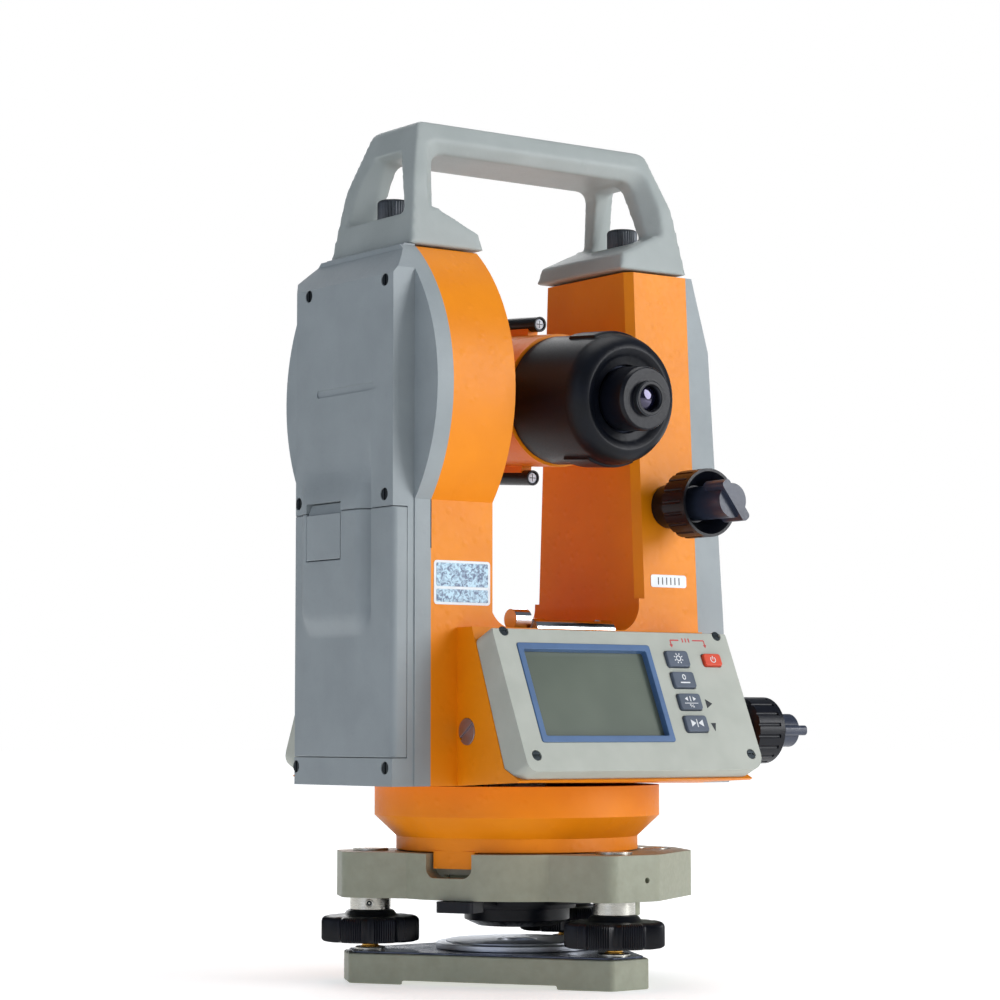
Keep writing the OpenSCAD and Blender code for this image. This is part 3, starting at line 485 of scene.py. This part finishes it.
def arc(x, y, radius, fromDeg=0, toDeg=360, steps=24, squash=1.0):
    closed = toDeg - fromDeg == 360
    return [
        (x + radius * squash * math.cos(math.radians(fromDeg + (toDeg - fromDeg) * k / steps)),
         y + radius * math.sin(math.radians(fromDeg + (toDeg - fromDeg) * k / steps)))
        for k in range(steps if closed else steps + 1)
    ]


def placed(x, y, z, *turns):
    # turns are (degrees, axis), the last one applied to the piece first
    place = Matrix.Translation((x, y, z))
    for degrees, axis in turns:
        place = place @ Matrix.Rotation(math.radians(degrees), 4, axis)
    return place


def panelPlace(rear):
    # axes of a keypad face: X along it, Y up the slope, Z out of the face
    half = Matrix.Rotation(math.pi if rear else 0, 4, "Z")
    return half @ placed(0, upper["panelY"], upper["panelZ"], (90 - upper["panelLeanDeg"], "X"))


def rightFrontY(z):
    # distance from the middle to the leaning front and rear of the right standard
    fall = upper["rightHalfLow"] - upper["rightHalfTop"]
    return upper["rightHalfLow"] - fall * (z - upper["footZ"]) / (upper["topZ"] - upper["footZ"])


telescopePlace = placed(0, 0, upper["trunnionZ"], (upper["parkedDeg"], "X"))
levelPlace = placed(
    lower["levelRadius"] * math.cos(math.radians(lower["levelDeg"])),
    lower["levelRadius"] * math.sin(math.radians(lower["levelDeg"])), 0)


# The frame's castings, mouldings and turned parts with their real edges

coverFaceX = -88.0   # outer face of the left cover and the battery
grip = {   # raised finger grip on the battery, which runs out in the cover above it
    "height": 2.6, "front": -22.5, "rear": 26.0, "foot": 137.0, "top": 206.0,
    "groove": 2.6, "grooveTop": 216.0, "flank": 5.0,
}


def smoothStep(value):
    value = min(max(value, 0.0), 1.0)
    return value * value * (3 - 2 * value)


def gripRise(y, z):
    # height of the grip above the cover's face, negative in the finger groove along its front
    corner = 5 * smoothStep((grip["front"] + 9 - y) / 9) + 5 * smoothStep((y - grip["rear"] + 9) / 9)
    foot = smoothStep((z - grip["foot"] - corner) / 9)
    front = smoothStep((y - grip["front"]) / grip["flank"])
    rear = smoothStep((grip["rear"] - y) / grip["flank"])
    raised = grip["height"] * front * rear * smoothStep((grip["top"] - z) / 17)
    if y > grip["front"]:
        dip = smoothStep(1 - (y - grip["front"]) / 6)
    else:
        dip = min(max(1 + (y - grip["front"]) / 1.5, 0), 1)
    return foot * (raised - grip["groove"] * dip * smoothStep((grip["grooveTop"] - z) / 22))


gripLinesY = [-24, -23.3, -22.5, -21.5, -20.5, -19, -17.5, -16, -14, -10, 10, 15, 17.5, 20, 22, 24, 26]
gripLinesZ = [137, 139, 141, 143, 145, 147, 149, 152, 158, 165, 172, 180, 187.2, 187.6, 190, 192.5, 195,
              197.5, 200, 203, 206, 210, 216]


def shapeGrip(shape):
    # cuts the flat outer face into a grid and lifts it to the grip's height
    for axis, lines in ((1, gripLinesY), (2, gripLinesZ)):
        for line in lines:
            flat = [f for f in shape.faces
                    if f.normal.x < -0.99 and abs(f.calc_center_median().x / mm - coverFaceX) < 0.05]
            corners = {v for f in flat for v in f.verts}
            edges = {e for f in flat for e in f.edges}
            spot, way = Vector((0, 0, 0)), Vector((0, 0, 0))
            spot[axis], way[axis] = line * mm, 1
            bmesh.ops.bisect_plane(shape, geom=list(corners) + list(edges) + flat, dist=1e-6,
                                   plane_co=spot, plane_no=way)
    for corner in shape.verts:
        if abs(corner.co.x / mm - coverFaceX) < 0.05:
            corner.co.x -= gripRise(corner.co.y / mm, corner.co.z / mm) * mm


flush = {   # where the round corner of the gap and the housings' outer edges lie, in mm
    "cornerY": 35, "cornerX": (23.9, 36.1), "cornerZ": (140.9, 153.1), "slackMm": 0.1,
    "housingY": 78, "housingFootZ": 81.3,
}


def flushCorners(shape):
    # brings the round corner of the gap flush with the leaning front of the right standard, and
    # raises the outer edge under each keypad housing
    for corner in shape.verts:
        x, y, z = (c / mm for c in corner.co)
        if abs(y) > flush["housingY"] and z < upper["footZ"] + flush["slackMm"]:
            corner.co.z = flush["housingFootZ"] * mm
        (westX, eastX), (lowZ, highZ) = flush["cornerX"], flush["cornerZ"]
        atCorner = abs(abs(y) - flush["cornerY"]) < flush["slackMm"]
        if atCorner and westX < x < eastX and lowZ < z < highZ:
            corner.co.y = math.copysign(rightFrontY(z), y) * mm


def softened(nodeName, material, voxelMm, rounds):
    # a casting with generous radii: its shape is rebuilt from small cells and smoothed
    shape = bmesh.new()
    shape.from_mesh(cadNodes[nodeName].data)
    bmesh.ops.remove_doubles(shape, verts=shape.verts, dist=0.002 * mm)
    mesh = bpy.data.meshes.new(nodeName + "_softened")
    shape.to_mesh(mesh)
    shape.free()
    piece = bpy.data.objects.new(nodeName + "_finished", mesh)
    bpy.context.scene.collection.objects.link(piece)
    cells = piece.modifiers.new("cells", "REMESH")
    cells.mode = "VOXEL"
    cells.voxel_size = voxelMm * mm
    cells.use_smooth_shade = True
    smooth = piece.modifiers.new("soft edges", "SMOOTH")
    smooth.factor, smooth.iterations = 0.5, rounds
    fewer = piece.modifiers.new("fewer faces", "DECIMATE")
    fewer.ratio = 0.3
    return keepPiece(piece, bodyOfNode[nodeName], slotOfNode[nodeName], material, nodeName)


def eased(nodeName, material, edgeMm, rounder=(), sculpt=None, segments=3, sharpDeg=28):
    # the part's own shape, with every edge rounded as far as the features beside it allow
    shape = bmesh.new()
    shape.from_mesh(cadNodes[nodeName].data)
    if sculpt:
        for corner in shape.verts if sculpt is shapeGrip else ():   # the plain block makes way for the grip
            if corner.co.x / mm < coverFaceX and abs(corner.co.y / mm) < 27:
                corner.co.x = coverFaceX * mm
    bmesh.ops.remove_doubles(shape, verts=shape.verts, dist=0.002 * mm)
    bmesh.ops.dissolve_degenerate(shape, edges=shape.edges, dist=0.002 * mm)
    bmesh.ops.dissolve_limit(shape, angle_limit=math.radians(0.6), verts=shape.verts, edges=shape.edges)
    widest = max([edgeMm] + [radius for _, _, radius in rounder])
    weight = shape.edges.layers.float.new("bevel_weight_edge")
    for edge in shape.edges:
        if len(edge.link_faces) != 2 or edge.calc_face_angle() < math.radians(sharpDeg):
            continue
        radius = edgeMm
        middle = (edge.verts[0].co + edge.verts[1].co) / 2 / mm
        for low, high, wanted in rounder:
            if all(a <= c <= b for a, c, b in zip(low, middle, high)):
                radius = wanted
        for corner in edge.verts:
            along = (edge.other_vert(corner).co - corner.co).normalized()
            for other in corner.link_edges:
                way = other.other_vert(corner).co - corner.co
                if other != edge and abs(way.normalized().dot(along)) < 0.8:
                    radius = min(radius, 0.45 * way.length / mm)
        edge[weight] = radius / widest
    if sculpt:
        sculpt(shape)
    mesh = bpy.data.meshes.new(nodeName + "_eased")
    shape.to_mesh(mesh)
    shape.free()
    for stale in ("custom_normal", "sharp_edge", "sharp_face"):
        if stale in mesh.attributes:
            mesh.attributes.remove(mesh.attributes[stale])
    mesh.shade_smooth()
    piece = bpy.data.objects.new(nodeName + "_finished", mesh)
    bpy.context.scene.collection.objects.link(piece)
    bevel = piece.modifiers.new("eased edges", "BEVEL")
    bevel.width = widest * mm
    bevel.segments = segments
    bevel.limit_method = "WEIGHT"
    bevel.use_clamp_overlap = True
    bevel.miter_outer = "MITER_ARC"
    piece.modifiers.new("even shading", "WEIGHTED_NORMAL").keep_sharp = True
    return keepPiece(piece, bodyOfNode[nodeName], slotOfNode[nodeName], material, nodeName)


edgeEasing = {   # node: (material, radius of its edges in mm, then boxes where the radius is larger)
    "base_plate": (enamel, 1.0), "tribrach_body": (enamel, 1.5), "collar_ring": (orangePaint, 0.5),
    "body_frame": (orangePaint, 0.7, [
        ((-58.5, -40, 80), (-57.5, -39, 141), 4.0), ((-58.5, 39, 80), (-57.5, 40, 141), 4.0),
        ((57.5, -40, 80), (58.5, -38, 141), 4.0), ((57.5, 38, 80), (58.5, 40, 141), 4.0),
        ((-58.5, -80, 78), (58.5, -48, 84), 1.5),
    ]),
    "telescope_body": (orangePaint, 0.5),
    "left_cover": (coverPaint, 0.8, [
        ((-88.5, -40, 79), (-87.5, -38, 279), 2.6), ((-89, -30, 277), (-74, 30, 293), 2.2),
        ((-79, -60, 190), (-77.5, 60, 284), 1.6), ((-88.5, -40, 79), (-87, 40, 81), 2.0),
    ]),
    "right_cover": (coverPaint, 1.4),
    "battery": (coverPaint, 0.5, [((-88.5, -40, 90), (-87.5, -38, 188), 2.6)]),
    "battery_latch": (coverPaint, 0.4),
    "front_panel_cover": (keypadPlastic, 0.8), "rear_panel_cover": (keypadPlastic, 0.8),
    "tripod_hub": (greyAnodised, 0.4), "lock_lever": (blackPlastic, 0.5),
    "tribrach_bowl": (blackPlastic, 1.4),
    "foot_sleeves": (turnedSteel, 0.25), "circular_level": (turnedSteel, 0.2),
    "plate_level_tube": (chromedSteel, 0.3),
    "knob_sleeves": (blackPlastic, 0.5), "vertical_tangent_ring": (blackPlastic, 0.35),
    "horizontal_tangent_ring": (blackPlastic, 0.35), "vertical_clamp_cap": (capPlastic, 0.5),
    "horizontal_clamp_cap": (capPlastic, 0.5), "objective_cell": (blackAnodised, 0.6),
    "sight_tubes": (blackPlastic, 0.25), "focusing_sleeve": (softRubber, 0.5),
    "eyepiece": (blackPlastic, 0.4),
    "lcd_frames": (blueFrame, 0.4), "cover_screws": (blackOxide, 0.15), "panel_screws": (blackOxide, 0.15),
    "side_plugs": (satinSteel, 0.2), "spring_plate": (springSteel, 0.15),
}
for side in ("front", "rear"):
    for keyName in ("light", "zero", "angle", "percent"):
        edgeEasing[f"{side}_key_{keyName}"] = (keyRubber, 0.5)
    edgeEasing[f"{side}_key_power"] = (redRubber, 0.5)
sculpts = {"left_cover": shapeGrip, "battery": shapeGrip, "body_frame": flushCorners}
for nodeName, finish in edgeEasing.items():
    eased(nodeName, *finish, sculpt=sculpts.get(nodeName))
softened("handle", greyPaint, 0.9, 8)

innerFinish = {
    "axis_bush": turnedSteel, "horizontal_circle": circleGlass, "axis_spindle": turnedSteel,
    "encoder_readers": solderMask, "circuit_boards": solderMask, "trunnion_bearings": turnedSteel,
    "telescope_barrel": blackAnodised, "trunnion_axles": turnedSteel, "vertical_circle": circleGlass,
    "lenses": lensGlass,
}
for nodeName, material in innerFinish.items():
    cadNodes[nodeName].data.materials.clear()
    cadNodes[nodeName].data.materials.append(material)
print("frame parts finished:", len(edgeEasing) + len(innerFinish))


# Seam shadows: thin black strips sunk into the seams where the covers meet the frame casting, a painted
# shadow of the gaps

seamShade = {"sinkMm": 0.45, "widthMm": 0.8, "thickMm": 0.5, "bulgeDeg": (-37.8, 49.6)}


def makeSeamShadeStrips():
    # black strips along the seams of both standards: painted shadow of the gaps between covers and casting
    sink, half = seamShade["sinkMm"], seamShade["thickMm"] / 2
    side, foot, top = upper["leftHalf"] - sink, upper["footZ"] + sink, upper["topZ"] - sink
    left = [(-side, foot), (side, foot)] + arc(
        -upper["bulgeShift"], upper["bulgeZ"], upper["bulgeRadius"] - sink, *seamShade["bulgeDeg"], steps=40)
    left += [(-y, z) for y, z in reversed(left[2:])]
    low, high = upper["rightHalfLow"] - sink, upper["rightHalfTop"] - sink
    right = [(-low, foot), (low, foot), (high, top), (-high, top)]
    for name, x, route in (("left", upper["leftSeamX"], left), ("right", upper["rightSeamX"], right)):
        meshPiece(f"{name}_seam_shade_strip", [stroke(route, seamShade["widthMm"], -half, half, closed=True)],
                  placed(x, 0, 0, (90, "Z"), (90, "X")), "alidade",
                  slotOfNode["knob_sleeves"], blackPlastic)


makeSeamShadeStrips()


# Foot screws

footKnob = {
    "radius": 19.8, "foot": 16.2, "rim": 26.3, "lobes": 9, "ribsPerLobe": 10,
    "grooveDeg": 12.0, "grooveMm": 1.7, "ribMm": 0.42,
}


def knobDip(angle):
    # how far the rim sinks: smooth grooves between the lobes, fine upright ribs on each lobe
    inLobe = angle % (360 / footKnob["lobes"])
    fromGroove = min(inLobe, 360 / footKnob["lobes"] - inLobe)
    half = footKnob["grooveDeg"] / 2
    if fromGroove < half:
        return footKnob["grooveMm"] * math.cos(math.pi / 2 * fromGroove / half) ** 0.8
    ribDeg = (360 / footKnob["lobes"] - footKnob["grooveDeg"]) / footKnob["ribsPerLobe"]
    return footKnob["ribMm"] * (0.5 + 0.5 * math.cos(2 * math.pi * (inLobe - half) / ribDeg))


def makeFootScrews():
    lobeDeg = 360 / footKnob["lobes"]
    ribDeg = (lobeDeg - footKnob["grooveDeg"]) / footKnob["ribsPerLobe"]
    half = footKnob["grooveDeg"] / 2
    inLobe = [-half + half * k / 4 for k in range(8)]
    inLobe += [half + ribDeg * k / 4 for k in range(4 * footKnob["ribsPerLobe"])]
    angles = sorted((lobe * lobeDeg + angle) % 360 for lobe in range(footKnob["lobes"]) for angle in inLobe)
    r, low, rim = footKnob["radius"], footKnob["foot"], footKnob["rim"]
    profile = [
        (4.2, low + 0.6), (12, low + 0.6), (15, low, 0), (r - 1.0, low, 0.9),
        (r - 0.3, low + 0.3, 1), (r, low + 1.0, 1), (r, rim - 2.0, 1), (r - 0.3, rim - 1.1, 1),
        (r - 1.0, rim - 0.4, 1), (r - 2.2, rim, 0.8), (14.2, rim, 0),
        (11.4, rim + 0.1), (10.7, rim + 0.5), (9.7, 28.2), (9.1, 28.6), (8.4, 28.7), (4.2, 28.7),
    ]
    spindle = [
        (0, 6.1), (4.1, 6.1), (4.1, 12.4), (3.9, 12.8), (3.9, 14.2), (3.3, 14.5), (3.3, 14.9), (4.1, 15.2),
        (4.1, 28.8), (3.95, 29.0), (3.95, 48.6), (3.5, 49), (0, 49),
    ]
    coarseTurn = [15 * k for k in range(24)]   # enough sides for a grub screw
    washer = [(4.5, 12.82), (6.2, 12.82), (6.2, 13.6), (5.8, 14.0), (4.5, 14.0)]
    for number, angle in enumerate(lower["footAngles"], 1):
        place = placed(0, 0, 0, (angle, "Z")) @ placed(lower["footRadius"], 0, 0)
        body, slotName = f"foot_screw_{number}", slotOfNode[f"foot_screw_{number}"]
        meshPiece(f"foot_knob_{number}", [spun(profile, angles, knobDip)], place, body, slotName,
                  blackPlastic, f"foot_screw_{number}", sharpDeg=50)
        meshPiece(f"foot_spindle_{number}", [spun(spindle)], place, body, "brass", turnedBrass)
        meshPiece(f"foot_washer_{number}", [spun(washer)], place, "root", "steel", turnedSteel)
        # set screw in the sleeve above the knob
        side = place @ placed(0, 0, 31.6, (80, "Z"), (90, "Y"))
        seat = [(0, 8.0), (1.75, 8.0), (1.75, 8.28), (1.45, 8.34), (1.2, 8.22), (0, 8.1)]
        grub = [(0, 8.0), (1.05, 8.0), (1.05, 8.3), (0.9, 8.38), (0.45, 8.38), (0.35, 8.15), (0, 8.15)]
        meshPiece(f"set_screw_seat_{number}", [spun(seat, coarseTurn)], side, "root", "steel", turnedSteel)
        meshPiece(f"set_screw_{number}", [spun(grub, coarseTurn)], side, "root", "black_screw", blackOxide)


makeFootScrews()


# Handle screws

handleScrew = {"radius": 6.5, "low": 304.8, "high": 314.1, "ribs": 36, "ribMm": 0.35}


def makeHandleScrews():
    r, low, high = handleScrew["radius"], handleScrew["low"], handleScrew["high"]
    ribDeg = 360 / handleScrew["ribs"]
    angles = [ribDeg * k / 6 for k in range(6 * handleScrew["ribs"])]
    profile = [
        (0, low), (r - 0.7, low), (r - 0.2, low + 0.4, 1), (r, low + 0.8, 1), (r, high - 1.4, 1),
        (r - 0.1, high - 0.9, 0.5), (r - 0.5, high - 0.3), (r - 1.1, high), (4.2, high),
        (3.9, high - 0.5), (0, high - 0.5),
    ]

    def rib(angle):
        return handleScrew["ribMm"] * (0.5 + 0.5 * math.cos(math.radians(angle * 360 / ribDeg)))

    shank = [(0, 270), (2.6, 270), (3.0, 270.4), (3.0, low + 0.5), (0, low + 0.5)]
    for side, x in (("left", -61.8), ("right", 56.2)):
        name = f"handle_screw_{side}"
        place, rider = placed(x, 0, 0), bodyOfNode[name]
        meshPiece(f"handle_knurl_{side}", [spun(profile, angles, rib)], place, rider, slotOfNode[name],
                  knobGrey, name, sharpDeg=50)
        meshPiece(f"handle_shank_{side}", [spun(shank)], place, rider, "steel", turnedSteel)


makeHandleScrews()
print("screws made")


# Keypads: displays, printed marks and key marks

keyMarks = {"lineMm": 0.42, "liftMm": 0.05, "keyTop": 1.3, "faceTop": 0.0}


def triangle(x, y, size, way):
    # solid arrowhead pointing along way = (dx, dy)
    dx, dy = way
    return [(x + dx * size, y + dy * size),
            (x - dx * size * 0.6 - dy * size, y - dy * size * 0.6 + dx * size),
            (x - dx * size * 0.6 + dy * size, y - dy * size * 0.6 - dx * size)]


def makeKeypad(side, rear):
    place = panelPlace(rear)
    low, high = keyMarks["keyTop"] - 0.03, keyMarks["keyTop"] + keyMarks["liftMm"]
    line = keyMarks["lineMm"]
    marks = {
        "light": [stroke(arc(30, -11.8, 1.05), line, low, high, closed=True)] + [
            stroke([(30 + r * math.cos(a), -11.8 + r * math.sin(a)) for r in (1.6, 2.3)], line, low, high)
            for a in [math.radians(22.5 + 45 * k) for k in range(8)]
        ],
        "zero": [
            stroke(arc(30, -20.0, 1.0, squash=0.7), line, low, high, closed=True),
            stroke([(27.6, -22.4), (32.4, -22.4)], 0.55, low, high),
        ],
        "angle": [
            prism(triangle(28.1, -29.5, 0.95, (-1, 0)), low, high),
            prism(triangle(31.9, -29.5, 0.95, (1, 0)), low, high),
            stroke([(30, -28.4), (30, -30.6)], line, low, high),
            stroke([(26.6, -31.4), (33.4, -31.4)], 0.28, low, high),
            stroke(arc(29.3, -32.2, 0.3, steps=12), 0.2, low, high, closed=True),
            stroke(arc(30.7, -32.9, 0.3, steps=12), 0.2, low, high, closed=True),
            stroke([(29.3, -33.1), (30.7, -32.0)], 0.2, low, high),
        ],
        "percent": [
            prism(triangle(27.9, -40, 1.5, (1, 0)), low, high),
            prism(triangle(32.1, -40, 1.5, (-1, 0)), low, high),
            stroke([(30, -38.3), (30, -41.7)], line, low, high),
        ],
        "power": [
            stroke(arc(47.9, -12.1, 1.2, 125, 415), 0.36, low, high),
            stroke([(47.9, -10.5), (47.9, -12.0)], 0.36, low, high),
        ],
    }
    for name, solids in marks.items():
        key = f"{side}_key_{name}"
        meshPiece(f"{side}_mark_{name}", solids, place, key, slotOfNode[key], whiteInk)
    face = keyMarks["faceTop"]
    ink = (face - 0.02, face + keyMarks["liftMm"])
    meshPiece(f"{side}_printed_arrows", [
        prism(triangle(39.8, -31, 2.0, (1, 0)), *ink),
        prism([(38.1, -39.4), (40.7, -39.4), (39.4, -43)][::-1], *ink),
    ], place, "alidade", "keypad_grey", blackInk)
    bracket = []
    for x0, x1, legX in ((29.4, 33.8, 29.4), (41.0, 46.8, 46.8)):
        bracket += [stroke([(x0, -3.2), (x1, -3.2)], 0.55, *ink),
                    stroke([(legX, -3.2), (legX, -5.4)], 0.55, *ink),
                    prism(triangle(legX, -5.6, 0.9, (0, -1)), *ink)]
    bracket += [stroke([(x, -2.3), (x, -4.1)], 0.6, *ink) for x in (35.8, 37.4, 39.0)]
    meshPiece(f"{side}_printed_bracket", bracket, place, "alidade", "keypad_grey", redInk)
    window = [prism(roundRect(-46, -45.6, 15.6, -7.7, 0.8), -4.4, -2.55)]
    extra = ("lcd_glasses",) if not rear else ()
    meshPiece(f"{side}_display", window, place, "alidade", "lcd", display, *extra, easeMm=0.2)


makeKeypad("front", False)
makeKeypad("rear", True)
print("keypads made")


# Labels on the standards

labels = {"filmMm": 0.2, "foilMm": 0.12, "tickLow": -1.5, "tickHigh": 1.5}


def makeLabels():
    top = labels["filmMm"] + labels["foilMm"]
    left = placed(-55.7, -39.5, 158.3, (90, "X"))
    meshPiece("left_label", [prism(roundRect(-13.4, -8.6, 13.4, 8.6, 1.4), -0.1, labels["filmMm"])],
              left, "alidade", "keypad_grey", labelFilm)
    meshPiece("left_label_foil", [
        prism(roundRect(-12.3, -1.5, 12.3, 7.6, 0.5), 0.0, top),
        prism(roundRect(-12.3, -7.6, 12.3, -2.6, 0.5), 0.0, top),
    ], left, "alidade", "keypad_grey", foil)
    lean = math.degrees(math.atan2(
        upper["rightHalfLow"] - upper["rightHalfTop"], upper["topZ"] - upper["footZ"]))
    right = placed(52, -35.14, 162.4, (90 - lean, "X"))
    meshPiece("right_label", [prism(roundRect(-9.4, -2.6, 9.4, 2.6, 1.1), -0.1, labels["filmMm"])],
              right, "alidade", "keypad_grey", labelFilm)
    ticks = [stroke([(x, labels["tickLow"]), (x, labels["tickHigh"])], 0.5, 0.0, labels["filmMm"] + 0.03)
             for x in (-5.5, -3.3, -1.1, 1.1, 3.3, 5.5)]
    meshPiece("right_label_ticks", ticks, right, "alidade", "keypad_grey", blackInk)


makeLabels()


# Levels, sights and eyepiece

levels = {"ringMm": 0.25, "bubbleMm": 2.3, "ringRadius": 3.0}


def makeLevels():
    # round level on the tribrach: crowned glass, an engraved circle and the bubble under it
    crown = [(6.3 * k / 6, 52.58 - 0.45 * (k / 6) ** 2) for k in range(1, 7)]
    dome = [(0, 52.58)] + crown + [(6.3, 46.2), (0, 46.2)]
    meshPiece("circular_level_dome", [spun(dome)], levelPlace, "root", "level_glass", levelFluid,
              "circular_level_glass", sharpDeg=50)
    r, w = levels["ringRadius"], levels["ringMm"]
    ring = [(r, 52.4), (r + w, 52.4), (r + w, 52.52), (r, 52.52)]
    meshPiece("circular_level_mark", [spun(ring)], levelPlace, "root", "level_glass", blackInk)
    b = levels["bubbleMm"]
    bubble = [(0, 52.66), (b * 0.5, 52.64), (b * 0.85, 52.57), (b, 52.48), (b, 52.3), (0, 52.3)]
    meshPiece("circular_level_bubble", [spun(bubble)], levelPlace @ placed(0.4, -0.3, 0), "root",
              "level_glass", bubbleGlass, sharpDeg=60)
    # plate level between the standards: sealed tube with two pairs of marks and a long bubble
    plate = placed(6, -28, upper["gapFloorZ"], (90, "Y"))
    vial = [(0, -17.8), (2.6, -17.8), (3.3, -17.2), (3.5, -16.4)]
    vial += [(r, -z) for r, z in reversed(vial)]
    meshPiece("plate_level_fluid", [spun(vial)], plate, "alidade", "level_glass", levelFluid,
              "plate_level_vial", sharpDeg=50)
    marks = [spun([(3.45, z), (3.56, z), (3.56, z + w), (3.45, z + w)]) for z in (-7.5, -5.5, 5.5, 7.5)]
    meshPiece("plate_level_marks", marks, plate, "alidade", "level_glass", blackInk)
    length, wide = 5.0, 1.5
    points, faces, rows, columns = [], [], 13, 9
    for i in range(rows):
        across = 2 * i / (rows - 1) - 1
        for k in range(columns):
            angle = math.pi / 2 * (2 * k / (columns - 1) - 1)
            half = wide * math.sqrt(max(1 - across ** 4, 0.0))
            rise = 3.42 + 0.22 * math.cos(angle) * half / wide
            points.append((length * across, half * math.sin(angle), rise))
    faces = [[i * columns + k, (i + 1) * columns + k, (i + 1) * columns + k + 1, i * columns + k + 1]
             for i in range(rows - 1) for k in range(columns - 1)]
    faces += [[i * columns, (i + 1) * columns, (i + 2) * columns - 1, (i + 1) * columns - 1]
              for i in range(rows - 1)]
    meshPiece("plate_level_bubble", [(points, faces)], placed(6.4, -28, upper["gapFloorZ"]), "alidade",
              "level_glass", bubbleGlass,
              sharpDeg=60)


def makeOptics():
    # a frosted window with a fine cross in the near end of each sight, and the lens of the eyepiece
    for name, z in (("upper", 31.6), ("lower", -31.6)):
        place = telescopePlace @ placed(0, 0, z, (90, "X"))
        pane = [(0, 12.9), (2.1, 12.9), (2.1, 13.3), (1.9, 13.45), (0, 13.5)]
        meshPiece(f"sight_window_{name}", [spun(pane)], place, "telescope", "glass", frostedWindow,
                  sharpDeg=50)
        meshPiece(f"sight_cross_{name}", [
            stroke([(-1.5, 0), (1.5, 0)], 0.3, 13.3, 13.56),
            stroke([(0, -1.5), (0, 1.5)], 0.3, 13.3, 13.57),
        ], place, "telescope", "black_plastic", blackInk)
    eye = telescopePlace @ placed(0, 0, 0, (90, "X"))
    lens = [(0, 86.6), (1.6, 86.5), (3.2, 86.15), (4.3, 85.75), (4.8, 85.5), (4.8, 84.9), (0, 84.9)]
    meshPiece("eyepiece_lens", [spun(lens)], eye, "eyepiece", "glass", eyeGlass, sharpDeg=60)
    collar = [(5.1, 85.6), (6.95, 85.6), (6.95, 88.2), (6.5, 88.55), (5.6, 88.58), (5.0, 87.9)]
    meshPiece("eyepiece_ring", [spun(collar)], eye, "eyepiece", "black_anodised", knobGrey, sharpDeg=50)


makeLevels()
makeOptics()
print("levels and optics made")


# Studio

studio = {
    "floorRadius": 14.0, "floorColour": "#EDEDEC", "nearGlow": 0.5, "farGlow": 1.0,
    "fadeFrom": 0.5, "fadeTo": 3.0,
    "wallRadius": 13.0, "skyColour": "#D6E0EE", "skyStrength": 0.2,
}
softLights = {   # name: (place in m, size in m, power in W, colour)
    "key": ((1.15, -1.5, 0.68), 1.1, 25, "#FCFDFF"),
    "top": ((0.2, 0.1, 1.9), 1.4, 12, "#FFFFFF"),
    "left": ((-1.7, -0.5, 0.6), 1.4, 3.6, "#D4E2FF"),
    "back": ((0.7, 1.6, 0.9), 1.2, 11, "#FFFFFF"),
}
view = {"place": (-0.7034, -0.9522, 0.1008), "headingDeg": 36.12, "riseDeg": 4.595, "lensMm": 103.4}


def makeStudio():
    # white floor that glows evenly away from the object, so that it runs out into a white sweep
    bpy.ops.mesh.primitive_circle_add(vertices=96, radius=studio["floorRadius"], fill_type="NGON")
    floor = bpy.context.object
    floor.name = "studio_floor"
    material, tree, shader, place = newMaterial("matt white floor", {
        "Base Color": linear(studio["floorColour"]), "Roughness": 0.9, "Emission Color": (1, 1, 1, 1),
        "Specular IOR Level": 0.1,
    })
    reach = addNode(tree, "VectorMath", {"operation": "LENGTH"}, {0: place})
    glow = addNode(tree, "MapRange", {
        "From Min": studio["fadeFrom"], "From Max": studio["fadeTo"],
        "To Min": studio["nearGlow"], "To Max": studio["farGlow"],
    }, {"Value": reach.outputs["Value"]})
    tree.links.new(glow.outputs[0], shader.inputs["Emission Strength"])
    floor.data.materials.append(material)
    bpy.ops.mesh.primitive_uv_sphere_add(segments=64, ring_count=32, radius=studio["wallRadius"])
    wall = bpy.context.object
    wall.name = "studio_wall"
    material = bpy.data.materials.new("white sweep")
    material.use_nodes = True
    tree = material.node_tree
    tree.nodes.clear()
    addNode(tree, "OutputMaterial", {}, {"Surface": addNode(tree, "Emission", {"Strength": 1.0})})
    wall.data.materials.append(material)
    for ray in ("visible_diffuse", "visible_glossy", "visible_transmission", "visible_shadow"):
        setattr(wall, ray, False)
    world = bpy.data.worlds.new("studio air")
    world.use_nodes = True
    world.node_tree.nodes["Background"].inputs["Color"].default_value = linear(studio["skyColour"])
    world.node_tree.nodes["Background"].inputs["Strength"].default_value = studio["skyStrength"]
    bpy.context.scene.world = world


def makeLights():
    middle = Vector((0, 0, 0.17))
    for name, (place, size, power, colour) in softLights.items():
        light = bpy.data.lights.new(name + "_light", "AREA")
        light.shape = "DISK"
        light.size = size
        light.energy = power
        light.color = linear(colour)[:3]
        lamp = bpy.data.objects.new(name + "_lamp", light)
        lamp.location = place
        lamp.rotation_euler = (middle - Vector(place)).to_track_quat("-Z", "Y").to_euler()
        bpy.context.scene.collection.objects.link(lamp)


def makeCamera():
    camera = bpy.data.cameras.new("studio_camera")
    camera.lens = view["lensMm"]
    camera.sensor_width = 36
    holder = bpy.data.objects.new("studio_camera", camera)
    holder.location = view["place"]
    holder.rotation_euler = (math.radians(90 + view["riseDeg"]), 0, -math.radians(view["headingDeg"]))
    bpy.context.scene.collection.objects.link(holder)
    bpy.context.scene.camera = holder
    bpy.context.scene.view_settings.view_transform = "Standard"


makeStudio()
makeLights()
makeCamera()
print("studio ready")
